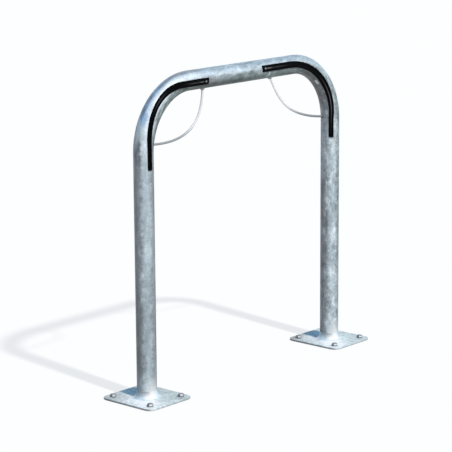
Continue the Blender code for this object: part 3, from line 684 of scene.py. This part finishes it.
def close_up(item):
    """Merges what meets and turns all faces outwards."""
    edit_all(item)
    bpy.ops.mesh.remove_doubles(threshold=MERGE_DISTANCE)
    bpy.ops.mesh.normals_make_consistent(inside=False)
    leave_edit()


def round_edges(item, wanted, offset, segments):
    """Bevels the edges whose two ends pass a test."""
    edit_all(item)
    bpy.ops.mesh.select_mode(type="EDGE")
    bpy.ops.mesh.select_all(action="DESELECT")
    leave_edit()
    mesh = item.data
    for edge in mesh.edges:
        ends = [mesh.vertices[index].co for index in edge.vertices]
        edge.select = wanted(*ends)
    bpy.ops.object.mode_set(mode="EDIT")
    bpy.ops.mesh.bevel(offset=offset, segments=segments, affect="EDGES")
    leave_edit()


def soften(item, width):
    """Takes the sharpness off a piece's edges."""
    apply_modifier(item, "BEVEL", width=width, segments=2, limit_method="ANGLE", angle_limit=math.radians(50))


def extrude(offset):
    bpy.ops.mesh.extrude_region_move(TRANSFORM_OT_translate={"value": tuple(offset)})


def draw_rings(vertices, rings):
    """Draws a circle through rings of given radii and heights, and closes the mesh where the last meets the first."""
    (radius, height), *others = rings
    item = start(bpy.ops.mesh.primitive_circle_add, vertices=vertices, radius=radius, location=(0.0, 0.0, height))
    edit_all(item)
    for wider, higher in others:
        extrude((0.0, 0.0, higher - height))
        factor = wider / radius
        bpy.ops.transform.resize(value=(factor, factor, 1.0), center_override=(0.0, 0.0, higher))
        radius, height = wider, higher
    close_up(item)
    return item


def smooth_by_angle(item, degrees):
    pick(item)
    bpy.ops.object.shade_smooth_by_angle(angle=math.radians(degrees))


def combine(item, operation, *others):
    """Cuts other pieces away, adds them or keeps what they share, one by one, and removes them."""
    for other in others:
        apply_modifier(item, "BOOLEAN", operation=operation, solver="EXACT", object=other)
        discard(other)


def hand_over(item, name, look, slot, *nodes):
    """Names a finished piece, gives it its finish and puts it in place of its CAD nodes."""
    pick(item)
    bpy.ops.object.transform_apply(location=True, rotation=True, scale=True)
    item.name = name
    item.data.name = name
    item.data.materials.clear()
    item.data.materials.append(look)
    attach(item, "root")
    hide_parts(*nodes)


def hand_over_copy(item, placement, *rest):
    """Hands over a copy with its own mesh, moved by a matrix."""
    twin = item.copy()
    twin.data = item.data.copy()
    bpy.context.scene.collection.objects.link(twin)
    twin.data.transform(placement)
    hand_over(twin, *rest)


def stood_on(place, normal):
    """The matrix that stands a piece on a surface."""
    return Matrix.Translation(place) @ normal.to_track_quat("Z", "Y").to_matrix().to_4x4()


def of_side(group, side, *keys):
    """A group's values for one side."""
    return [getattr(group, f"{side}_{key}") for key in keys]


def bar_height(sizes):
    return sizes.hoop_height - sizes.tube_diameter / 2


def corner_to_world(sizes, side, inward, down, y=0.0):
    """A point given from the crossing of the leg's and the bar's centre lines, inwards along the bar and down."""
    return Vector((SIDES[side] * (sizes.leg_spacing / 2 - inward), y, bar_height(sizes) - down))


def corner_direction(side, inward, down, y=0.0):
    return Vector((-SIDES[side] * inward, y, -down))


def unbent(sizes, point):
    """Where a point of the tube would be if the hoop were straightened: across, outwards and along."""
    side = "left" if point.x < 0 else "right"
    inward = sizes.leg_spacing / 2 - abs(point.x)
    down = bar_height(sizes) - point.z
    radius = sizes.bend_radius
    leg = bar_height(sizes) - radius
    if down > radius:
        outward, along = -inward, leg - (down - radius)
    elif inward > radius:
        outward, along = -down, leg + radius * math.pi / 2 + inward - radius
    else:
        turn = math.atan2(radius - down, radius - inward)
        outward = math.hypot(radius - down, radius - inward) - radius
        along = leg + radius * turn
    whole = 2 * leg + radius * math.pi + sizes.leg_spacing - 2 * radius
    return Vector((point.y, outward, along if side == "left" else whole - along))


class STAND_OT_hoop_tube(bpy.types.Operator):
    """Bends the hoop's tube from a ring at the left foot, over the bar and down to the right foot"""

    bl_idname = "hoop_stand.hoop_tube"
    bl_label = "Hoop Tube"

    def execute(self, context):
        sizes = context.scene.stand_sizes
        half = sizes.leg_spacing / 2
        radius = sizes.bend_radius
        spring = bar_height(sizes) - radius
        tube = start(
            bpy.ops.mesh.primitive_circle_add,
            vertices=96,
            radius=sizes.tube_diameter / 2,
            location=(-half, 0.0, sizes.tube_foot),
        )
        edit_all(tube)
        extrude((0.0, 0.0, spring - sizes.tube_foot))
        self.bend(radius - half, spring)
        extrude((2 * (half - radius), 0.0, 0.0))
        self.bend(half - radius, spring)
        extrude((0.0, 0.0, sizes.tube_foot - spring))
        close_up(tube)
        straightened = tube.data.attributes.new("unbent", "FLOAT_VECTOR", "POINT")
        for vertex, record in zip(tube.data.vertices, straightened.data):
            record.vector = unbent(sizes, vertex.co)
        apply_modifier(tube, "SOLIDIFY", thickness=sizes.tube_wall, offset=-1.0)
        smooth_by_angle(tube, 35.0)
        look = galvanised_look("galvanised_tube", context.scene.stand_colours, sizes)
        hand_over(tube, "bent_tube", look, "galvanised_steel", "hoop_tube")
        return {"FINISHED"}

    def bend(self, x, z):
        """Bends the tube's open end a quarter turn to the right round a point."""
        bpy.ops.mesh.spin(steps=BEND_STEPS, angle=-math.pi / 2, center=(x, 0.0, z), axis=(0.0, 1.0, 0.0))


def hole_offset(sizes, corner):
    """Where an anchor hole lies from the middle of the right plate."""
    outward, y = CORNERS[corner]
    inset = sizes.hole_inset
    return Vector((outward * (sizes.plate_width / 2 - inset), y * (sizes.plate_depth / 2 - inset), 0.0))


# How bright the darker zinc on the plates' far side is
PLATE_FAR_SIDE_LEVEL = {"left": 0.88, "right": 1.05}


class STAND_OT_base_plates(bpy.types.Operator):
    """Makes a base plate from a block with rounded corners and edges, cuts its holes and copies it to both legs"""

    bl_idname = "hoop_stand.base_plates"
    bl_label = "Base Plates"

    def execute(self, context):
        sizes = context.scene.stand_sizes
        plate = self.plate(sizes)
        for side in SIDES:
            foot = foot_place(sizes, side)
            look = plate_look("galvanised_plate_" + side, context.scene.stand_colours, foot, PLATE_FAR_SIDE_LEVEL[side])
            place = Matrix.Translation((foot.x, 0.0, 0.0))
            hand_over_copy(plate, place, "plate_" + side, look, "galvanised_steel", "base_plate_" + side)
        discard(plate)
        return {"FINISHED"}

    def plate(self, sizes):
        thickness = sizes.plate_thickness
        plate = start(
            bpy.ops.mesh.primitive_cube_add,
            size=1.0,
            location=(0.0, 0.0, thickness / 2),
            scale=(sizes.plate_width, sizes.plate_depth, thickness),
        )
        round_edges(plate, lambda a, b: abs(a.z - b.z) > thickness / 2, sizes.plate_corner, 10)
        round_edges(plate, lambda a, b: abs(a.z - b.z) < thickness / 2, sizes.plate_edge, 3)
        drills = []
        for corner in CORNERS:
            x, y, _ = hole_offset(sizes, corner)
            drills.append(cylinder(48, sizes.hole_diameter / 2, -2 * thickness, 2 * thickness, x, y))
        drills.append(cylinder(48, sizes.drain_diameter / 2, -2 * thickness, 2 * thickness))
        combine(plate, "DIFFERENCE", *drills)
        smooth_by_angle(plate, 30.0)
        return plate


class STAND_OT_foot_welds(bpy.types.Operator):
    """Draws a concave fillet weld down and out from a tube's foot, with faint ripples, and copies it to both feet"""

    bl_idname = "hoop_stand.foot_welds"
    bl_label = "Foot Welds"

    def execute(self, context):
        sizes = context.scene.stand_sizes
        weld = self.weld(sizes)
        for side in SIDES:
            look = foot_weld_look("foot_weld_zinc_" + side, context.scene.stand_colours, sizes)
            place = Matrix.Translation((foot_place(sizes, side).x, 0.0, 0.0))
            hand_over_copy(weld, place, "fillet_" + side, look, "weld_metal", "foot_weld_" + side)
        discard(weld)
        return {"FINISHED"}

    def weld(self, sizes):
        inner = sizes.tube_diameter / 2 - WELD_OVERLAP
        outer = sizes.weld_diameter / 2
        floor = sizes.plate_thickness - WELD_OVERLAP
        top = sizes.weld_height
        rings = [(inner, top)]
        for step in range(1, WELD_STEPS + 1):
            turn = math.pi / 2 * step / WELD_STEPS
            rings.append((outer - (outer - inner) * math.cos(turn), top - (top - floor) * math.sin(turn)))
        weld = draw_rings(144, rings + [(inner, floor), (inner, top)])
        for vertex in weld.data.vertices:
            out = vertex.co.xy
            rise = (vertex.co.z - floor) / (top - floor)
            if out.length > inner + 2 * WELD_OVERLAP:
                swell = math.sin(rise * math.pi) ** 0.5 if 0.0 < rise < 1.0 else 0.0
                turn = math.atan2(out.y, out.x)
                ripple = FINE_RIPPLE * math.sin(46 * turn + 5 * rise) + BROAD_RIPPLE * math.sin(7 * turn + 1.3)
                vertex.co.x += out.x / out.length * ripple * swell
                vertex.co.y += out.y / out.length * ripple * swell
        smooth_by_angle(weld, 50.0)
        return weld


class STAND_OT_anchors(bpy.types.Operator):
    """Makes one hexagon-head anchor and one washer, and copies them to every hole of both plates"""

    bl_idname = "hoop_stand.anchors"
    bl_label = "Anchors"

    def execute(self, context):
        sizes = context.scene.stand_sizes
        bolt = self.bolt(sizes)
        washer = self.washer(sizes)
        colours = context.scene.stand_colours
        bolt_look = fastener_look("bolt_zinc", colours, colours.dull_bolt, colours.bolt)
        washer_look = fastener_look("washer_zinc", colours, colours.washer, colours.washer)
        for side, sign in SIDES.items():
            for corner in CORNERS:
                name = side + "_" + corner
                offset = hole_offset(sizes, corner)
                place = Matrix.Translation((sign * (sizes.leg_spacing / 2 + offset.x), offset.y, 0.0))
                hand_over_copy(bolt, place, "bolt_" + name, bolt_look, "zinc_fastener", "anchor_bolt_" + name)
                hand_over_copy(washer, place, "disc_" + name, washer_look, "zinc_fastener", "washer_" + name)
        discard(bolt)
        discard(washer)
        return {"FINISHED"}

    def bolt(self, sizes):
        base = sizes.washer_top + SEAT_GAP
        top = sizes.head_top
        height = top - base
        head = cylinder(6, sizes.head_flats / 2 / math.cos(math.pi / 6), base, top)
        dome = cylinder(72, sizes.head_flats * DOME_RADIUS, top - 2 * height, top)
        round_edges(dome, lambda a, b: min(a.z, b.z) > top - height / 2, sizes.head_flats * DOME_SLOPE, 6)
        combine(head, "INTERSECT", dome)
        combine(head, "UNION", cylinder(32, sizes.shank_diameter / 2, 0.0, base + height / 2))
        smooth_by_angle(head, 20.0)
        return head

    def washer(self, sizes):
        bore, rim = sizes.washer_bore / 2, sizes.washer_diameter / 2
        low, high = sizes.washer_bottom, sizes.washer_top
        washer = draw_rings(64, ((bore, low), (rim, low), (rim, high), (bore, high), (bore, low)))
        soften(washer, WASHER_EDGE)
        smooth_by_angle(washer, 40.0)
        return washer


def tube_seat(sizes, offset):
    """How far from its centre line the tube's inner side lies, at an offset across the tube."""
    return math.sqrt((sizes.tube_diameter / 2) ** 2 - offset**2)


def inner_face(sizes, along, offset):
    """How deep the tube's inner side lies at a distance from the corner and an offset across, and its slope."""
    inner_radius = sizes.bend_radius - tube_seat(sizes, offset)
    into_bend = max(sizes.bend_radius - along, 0.0)
    depth = sizes.bend_radius - math.sqrt(inner_radius**2 - into_bend**2)
    return depth, math.asin(into_bend / inner_radius)


def bar_ends(sizes, eyes, side):
    """Where a locking bar meets the bar and the leg, the way it sets off and the tube's normal there."""
    reach, drop, lean, rise = of_side(eyes, side, "reach", "drop", "top_lean", "leg_rise")
    top_depth, top_slope = inner_face(sizes, reach, eyes.top_offset)
    leg_depth, leg_slope = inner_face(sizes, drop, eyes.leg_offset)
    seat = tube_seat(sizes, eyes.top_offset)
    top = (
        corner_to_world(sizes, side, reach, top_depth, eyes.top_offset),
        corner_direction(side, -math.sin(lean), math.cos(lean)),
        corner_direction(side, seat * math.sin(top_slope), seat * math.cos(top_slope), eyes.top_offset).normalized(),
    )
    seat = tube_seat(sizes, eyes.leg_offset)
    leg = (
        corner_to_world(sizes, side, leg_depth, drop, eyes.leg_offset),
        corner_direction(side, math.cos(rise), -math.sin(rise)),
        corner_direction(side, seat * math.cos(leg_slope), seat * math.sin(leg_slope), eyes.leg_offset).normalized(),
    )
    return {"top": top, "leg": leg}


class STAND_OT_locking_bars(bpy.types.Operator):
    """Bends a round bar across each upper corner, run a little way into the tube at both ends"""

    bl_idname = "hoop_stand.locking_bars"
    bl_label = "Locking Bars"

    def execute(self, context):
        sizes = context.scene.stand_sizes
        eyes = context.scene.eye_sizes
        for side in SIDES:
            ends = bar_ends(sizes, eyes, side)
            clear_selection()
            bpy.ops.curve.primitive_bezier_curve_add(location=(0.0, 0.0, 0.0))
            curve = context.object.data
            curve.resolution_u = 64
            curve.bevel_depth = eyes.bar_diameter / 2
            curve.bevel_resolution = 10
            curve.use_fill_caps = True
            for knot, end in zip(curve.splines[0].bezier_points, ("top", "leg")):
                place, way, _ = ends[end]
                pull = getattr(eyes, f"{side}_{end}_pull")
                knot.handle_left_type = knot.handle_right_type = "FREE"
                knot.co = place - way * BAR_RUN_IN
                ahead, behind = place + way * pull, place - way * (BAR_RUN_IN + pull)
                knot.handle_right, knot.handle_left = (ahead, behind) if end == "top" else (behind, ahead)
            bpy.ops.object.convert(target="MESH")
            bar = context.object
            close_up(bar)
            smooth_by_angle(bar, 40.0)
            paleness, shine = of_side(eyes, side, "paleness", "shine")
            look = bar_look("galvanised_bar_" + side, context.scene.stand_colours, paleness, shine)
            hand_over(bar, "round_bar_" + side, look, "galvanised_steel", "locking_bar_" + side)
        return {"FINISHED"}


class STAND_OT_locking_welds(bpy.types.Operator):
    """Flattens one bead of weld and copies it to each end of the locking bars"""

    bl_idname = "hoop_stand.locking_welds"
    bl_label = "Locking Bar Welds"

    def execute(self, context):
        sizes = context.scene.stand_sizes
        eyes = context.scene.eye_sizes
        colours = context.scene.stand_colours
        # Painted: the top beads are paled by a painted glint, the leg beads darkened as painted shade
        looks = {
            "top": bead_look("bead_zinc_top", colours, 0.6, 1.0),
            "leg": bead_look("bead_zinc_leg", colours, 0.0, 0.5),
        }
        bead = self.bead(eyes)
        for side in SIDES:
            for end, (place, _, normal) in bar_ends(sizes, eyes, side).items():
                place = stood_on(place, normal)
                name = f"{side}_{end}"
                hand_over_copy(bead, place, "bead_" + name, looks[end], "weld_metal", "locking_weld_" + name)
        discard(bead)
        return {"FINISHED"}

    def bead(self, eyes):
        radius = eyes.bead_diameter / 2
        bead = start(bpy.ops.mesh.primitive_uv_sphere_add, segments=48, ring_count=24, radius=radius)
        for vertex in bead.data.vertices:
            turn = math.atan2(vertex.co.y, vertex.co.x)
            vertex.co *= 1.0 + BEAD_LUMPS * math.sin(5 * turn) * math.sin(vertex.co.z / radius * 4)
        edit_all(bead)
        bpy.ops.transform.resize(value=(1.0, 1.0, eyes.bead_height / radius), center_override=(0.0, 0.0, 0.0))
        leave_edit()
        bpy.ops.object.shade_smooth()
        return bead


class StripPath:
    """The middle line of one protector strip on the tube, from its end on the leg to its end on the bar."""

    def __init__(self, sizes, strips, side):
        self.sizes = sizes
        self.side = side
        self.bar_end_width = strips.bar_end_width
        self.end_round = strips.end_round
        self.reach, self.drop = of_side(strips, side, "bend_reach", "bend_drop")
        self.leg_offset, self.bar_offset = of_side(strips, side, "leg_offset", "bar_offset")
        self.leg_end_width, self.narrow_share, self.wide_share = of_side(
            strips, side, "leg_end_width", "narrow_share", "wide_share"
        )
        leg_run, bar_run = of_side(strips, side, "leg_run", "bar_run")
        self.turn_inward = self.reach - self.leg_offset
        self.turn_down = self.drop - self.bar_offset
        self.leg_length = sizes.bend_radius + leg_run - self.turn_down
        self.bend_length = math.pi / 4 * (self.reach + self.drop)
        self.length = self.leg_length + self.bend_length + sizes.bend_radius + bar_run - self.turn_inward

    def point(self, distance):
        """As (inward, down) from the crossing of the leg's and the bar's centre lines."""
        if distance < self.leg_length:
            return -self.leg_offset, self.turn_down + self.leg_length - distance
        distance -= self.leg_length
        if distance < self.bend_length:
            turn = math.pi / 2 * distance / self.bend_length
            return self.turn_inward - self.reach * math.cos(turn), self.turn_down - self.drop * math.sin(turn)
        return self.turn_inward + distance - self.bend_length, -self.bar_offset

    def half_width(self, distance):
        """Half the strip's width at a distance from its end on the leg, and less in the rounded corners."""
        step = (distance / self.length - self.narrow_share) / (self.wide_share - self.narrow_share)
        step = min(max(step, 0.0), 1.0)
        width = self.leg_end_width + (self.bar_end_width - self.leg_end_width) * step * step * (3 - 2 * step)
        from_round = max(self.end_round - min(distance, self.length - distance), 0.0)
        return width / 2 - self.end_round + math.sqrt(max(self.end_round**2 - from_round**2, 0.0))

    def frame(self, distance, across, radius):
        """A point on the tube at a distance along and across the strip, and the tube's normal there."""
        inward, down = self.point(distance)
        bend = self.sizes.bend_radius
        if down > bend:
            place, outward, offset = (0.0, down), (-1.0, 0.0), -inward
        elif inward > bend:
            place, outward, offset = (inward, 0.0), (0.0, -1.0), -down
        else:
            away = Vector((inward - bend, down - bend))
            offset = away.length - bend
            away.normalize()
            place, outward = (bend + away.x * bend, bend + away.y * bend), tuple(away)
        turn = math.asin(offset / (self.sizes.tube_diameter / 2)) + across / radius
        normal = corner_direction(self.side, *outward) * math.sin(turn) + Vector((0.0, -math.cos(turn), 0.0))
        return corner_to_world(self.sizes, self.side, *place) + normal * radius, normal


# Places across half a strip, as shares of its half width, with the share of its full thickness there
RIB = ((0.0, 0.42), (0.12, 0.42), (0.20, 0.50), (0.27, 0.72), (0.34, 0.92), (0.46, 1.0), (0.66, 1.0),
       (0.82, 0.95), (0.92, 0.80), (0.98, 0.60), (1.0, 0.40))

# Patches of dust in the strips' grooves: the strip's end they are near, their distance from it, spread and density
DUST = {
    "left": (("leg", 0.165, 0.020, 0.10), ("bar", 0.024, 0.008, 0.30), ("bar", 0.05, 0.02, 0.12)),
    "right": (("leg", 0.104, 0.055, 0.30), ("bar", 0.024, 0.010, 0.35), ("bar", 0.06, 0.03, 0.08)),
}

# A strip's rows, and how much closer together they lie towards its ends
STRIP_ROWS, CROWDING = 200, 0.85
# How far from its middle a strip's groove and the dust in it reach, as shares of its half width
GROOVE_REACH, DUST_REACH = 0.45, 0.15
# Over what lengths the groove closes and the strip's top rises near an end, and its height's share at the very end
GROOVE_CLOSING, END_SLOPE, END_HEIGHT = 0.0008, 0.0015, 0.45


def dust_along(side, **ends):
    """How much dust lies in a strip's groove, at its distances from the strip's ends on the leg and on the bar."""
    patches = (most * math.exp(-(((ends[end] - middle) / spread) ** 2)) for end, middle, spread, most in DUST[side])
    return min(sum(patches), 1.0)


class STAND_OT_protector_strips(bpy.types.Operator):
    """Lays a grooved rubber strip round each bend from a flat grid, thickened away from the tube"""

    bl_idname = "hoop_stand.protector_strips"
    bl_label = "Protector Strips"

    def execute(self, context):
        sizes = context.scene.stand_sizes
        strips = context.scene.strip_sizes
        for side in SIDES:
            self.strip(context.scene.stand_colours, sizes, strips, side)
        return {"FINISHED"}

    def strip(self, colours, sizes, strips, side):
        path = StripPath(sizes, strips, side)
        profile = [(-place, share) for place, share in reversed(RIB[1:])] + list(RIB)
        columns = len(profile) - 1
        strip = start(bpy.ops.mesh.primitive_grid_add, x_subdivisions=columns, y_subdivisions=STRIP_ROWS, size=1.0)
        heights = strip.vertex_groups.new(name="height")
        dust = strip.data.attributes.new("dust", "FLOAT", "POINT")
        radius = sizes.tube_diameter / 2 + strips.gap
        for vertex, record in zip(strip.data.vertices, dust.data):
            # Rows lie closer together towards both ends
            step = vertex.co.y + 0.5
            distance = path.length * (step - CROWDING * math.sin(2 * math.pi * step) / (2 * math.pi))
            to_end = min(distance, path.length - distance)
            place, height = profile[round((vertex.co.x + 0.5) * columns)]
            if abs(place) < GROOVE_REACH:
                height += (1.0 - height) * min(max((strips.end_band - to_end) / GROOVE_CLOSING, 0.0), 1.0)
            vertex.co, _ = path.frame(distance, place * path.half_width(distance), radius)
            heights.add([vertex.index], height * min(END_HEIGHT + to_end / END_SLOPE, 1.0), "REPLACE")
            if abs(place) < DUST_REACH:
                record.value = dust_along(side, leg=distance, bar=path.length - distance)
        if sum(face.normal.y for face in strip.data.polygons) > 0:
            edit_all(strip)
            bpy.ops.mesh.flip_normals()
            leave_edit()
        apply_modifier(
            strip, "SOLIDIFY", thickness=strips.thickness, offset=1.0, vertex_group="height", thickness_vertex_group=0.0
        )
        soften(strip, STRIP_EDGE)
        smooth_by_angle(strip, 45.0)
        look = rubber_look("rubber_" + side, colours)
        hand_over(strip, "strip_" + side, look, "strip_rubber", "protector_strip_" + side)


class STAND_OT_strip_screws(bpy.types.Operator):
    """Turns a pan-head screw with a cross recess and sets a copy in each strip's end on the bar"""

    bl_idname = "hoop_stand.strip_screws"
    bl_label = "Strip Screws"

    def execute(self, context):
        sizes = context.scene.stand_sizes
        strips = context.scene.strip_sizes
        colours = context.scene.stand_colours
        look = fastener_look("screw_zinc", colours, colours.screw, colours.screw)
        screw = self.screw(strips)
        for side in SIDES:
            path = StripPath(sizes, strips, side)
            place, normal = path.frame(path.length - strips.screw_inset, 0.0, sizes.tube_diameter / 2)
            place = stood_on(place, normal)
            hand_over_copy(screw, place, "screw_" + side, look, "zinc_fastener", "strip_screw_" + side)
        discard(screw)
        return {"FINISHED"}

    def screw(self, strips):
        radius, height = strips.screw_diameter / 2, strips.screw_height
        seat = strips.gap + RIB[0][1] * strips.thickness
        screw = cylinder(48, radius, seat, seat + height)
        round_edges(screw, lambda a, b: min(a.z, b.z) > seat + height / 2, height * 0.6, 5)
        slots = []
        for turn in (SLOT_TURN, SLOT_TURN + math.pi / 2):
            slot = start(
                bpy.ops.mesh.primitive_cube_add,
                size=1.0,
                location=(0.0, 0.0, seat + height),
                rotation=(0.0, 0.0, turn),
                scale=(radius * SLOT_LENGTH, radius * SLOT_WIDTH, height * SLOT_DEPTH),
            )
            slots.append(slot)
        combine(screw, "DIFFERENCE", *slots)
        smooth_by_angle(screw, 35.0)
        return screw


# The way towards each lamp, its energy and how far its light spreads, in degrees
LAMPS = {
    "key_light": (Vector((-0.093, -0.662, 0.743)), 3.1, 2.5),
    "back_fill": (Vector((0.46, 0.86, 0.12)), 0.6, 40.0),
}
LAMP_COLOUR = (1.0, 0.985, 0.96)
WHITE = (1.0, 1.0, 1.0)
# The floor's colour for the light that it throws back at the stand, and how much of it glows where it is seen
DIM_FLOOR = (0.36, 0.34, 0.32)
FLOOR_GLOW = 0.75
# The strength of the soft light from all round; the backdrop is seen at 1
SKY_STRENGTH = 0.42
# The camera's place, its azimuth, elevation and roll in degrees, and its lens in millimetres
CAMERA_PLACE = (-3.5538957, -3.0936124, 1.3616014)
CAMERA_ANGLES = (-48.472412, 11.930416, -0.380414)
CAMERA_LENS = 153.914116


class STAND_OT_stage(bpy.types.Operator):
    """Sets the pale floor, the soft lights and the camera"""

    bl_idname = "hoop_stand.stage"
    bl_label = "Stage"

    def execute(self, context):
        colours = context.scene.stand_colours
        self.floor(colours)
        self.sky(context.scene, colours)
        for name, (towards, energy, spread) in LAMPS.items():
            self.lamp(name, towards, energy, spread)
        self.camera(context.scene)
        context.scene.view_settings.view_transform = "Standard"
        return {"FINISHED"}

    def floor(self, colours):
        floor = start(
            bpy.ops.mesh.primitive_grid_add,
            x_subdivisions=8,
            y_subdivisions=8,
            size=80.0,
            location=(0.0, 0.0, -SEAT_GAP),
        )
        floor.name = "studio_floor"
        look = bpy.data.materials.new("studio_floor")
        look.use_nodes = True
        nodes = look.node_tree.nodes
        nodes.remove(nodes["Principled BSDF"])
        recipe = Recipe(look.node_tree)
        shown = recipe.shown()
        paint = recipe.node("ShaderNodeBsdfDiffuse", {}, {"Color": recipe.mix(shown, DIM_FLOOR, colours.floor)})
        glow = recipe.node("ShaderNodeEmission", {}, {"Color": WHITE, "Strength": 1.0})
        blend = recipe.node("ShaderNodeMixShader", {}, {0: shown * FLOOR_GLOW, 1: paint, 2: glow})
        recipe.feed(nodes["Material Output"].inputs["Surface"], blend)
        floor.data.materials.append(look)

    def sky(self, scene, colours):
        scene.world = bpy.data.worlds.new("studio")
        scene.world.use_nodes = True
        recipe = Recipe(scene.world.node_tree)
        height = recipe.axis(recipe.node("ShaderNodeTexCoord", output="Generated"), "Z")
        tint = recipe.mix(height.between(0.0, 0.8), colours.sky_side, colours.sky_top)
        backdrop = recipe.shown() * (1.0 - height.between(0.30, 0.75))
        inputs = scene.world.node_tree.nodes["Background"].inputs
        recipe.feed(inputs["Color"], recipe.mix(backdrop, tint, WHITE))
        recipe.feed(inputs["Strength"], SKY_STRENGTH + backdrop * (1.0 - SKY_STRENGTH))

    def lamp(self, name, towards, energy, spread):
        clear_selection()
        bpy.ops.object.light_add(type="SUN", location=towards * 4)
        lamp = bpy.context.object
        lamp.name = name
        lamp.rotation_euler = towards.to_track_quat("Z", "Y").to_euler()
        lamp.data.energy = energy
        lamp.data.angle = math.radians(spread)
        lamp.data.color = LAMP_COLOUR

    def camera(self, scene):
        clear_selection()
        bpy.ops.object.camera_add(location=CAMERA_PLACE)
        camera = bpy.context.object
        camera.name = "camera"
        azimuth, elevation, roll = (math.radians(value) for value in CAMERA_ANGLES)
        back = Matrix.Rotation(azimuth, 3, "Z") @ Vector((0.0, -math.cos(elevation), math.sin(elevation)))
        camera.rotation_mode = "QUATERNION"
        camera.rotation_quaternion = back.to_track_quat("Z", "Y") @ Matrix.Rotation(roll, 3, "Z").to_quaternion()
        camera.data.sensor_width = 36.0
        camera.data.lens = CAMERA_LENS
        scene.camera = camera


OPERATORS = (
    STAND_OT_hoop_tube,
    STAND_OT_base_plates,
    STAND_OT_foot_welds,
    STAND_OT_anchors,
    STAND_OT_locking_bars,
    STAND_OT_locking_welds,
    STAND_OT_protector_strips,
    STAND_OT_strip_screws,
    STAND_OT_stage,
)


# The property groups, under the names that the scene keeps them by
GROUPS = {
    "stand_sizes": StandSizes,
    "eye_sizes": EyeSizes,
    "strip_sizes": StripSizes,
    "stand_colours": StandColours,
}


class STAND_PT_panel(bpy.types.Panel):
    """Lists the steps that build the stand, and its sizes and colours"""

    bl_idname = "STAND_PT_panel"
    bl_label = "Hoop Bike Stand"
    bl_space_type = "VIEW_3D"
    bl_region_type = "UI"
    bl_category = "Hoop Stand"

    def draw(self, context):
        column = self.layout.column(align=True)
        for step in OPERATORS:
            column.operator(step.bl_idname)
        for key, group in GROUPS.items():
            box = self.layout.box()
            for name in group.__annotations__:
                box.prop(getattr(context.scene, key), name)


CLASSES = (*GROUPS.values(), *OPERATORS, STAND_PT_panel)


def register():
    for item in CLASSES:
        bpy.utils.register_class(item)
    for key, group in GROUPS.items():
        setattr(bpy.types.Scene, key, bpy.props.PointerProperty(type=group))


def unregister():
    for key in GROUPS:
        delattr(bpy.types.Scene, key)
    for item in reversed(CLASSES):
        bpy.utils.unregister_class(item)


def main():
    register()
    bpy.ops.hoop_stand.hoop_tube()
    bpy.ops.hoop_stand.base_plates()
    bpy.ops.hoop_stand.foot_welds()
    bpy.ops.hoop_stand.anchors()
    bpy.ops.hoop_stand.locking_bars()
    bpy.ops.hoop_stand.locking_welds()
    bpy.ops.hoop_stand.protector_strips()
    bpy.ops.hoop_stand.strip_screws()
    bpy.ops.hoop_stand.stage()


if __name__ == "__main__":
    main()
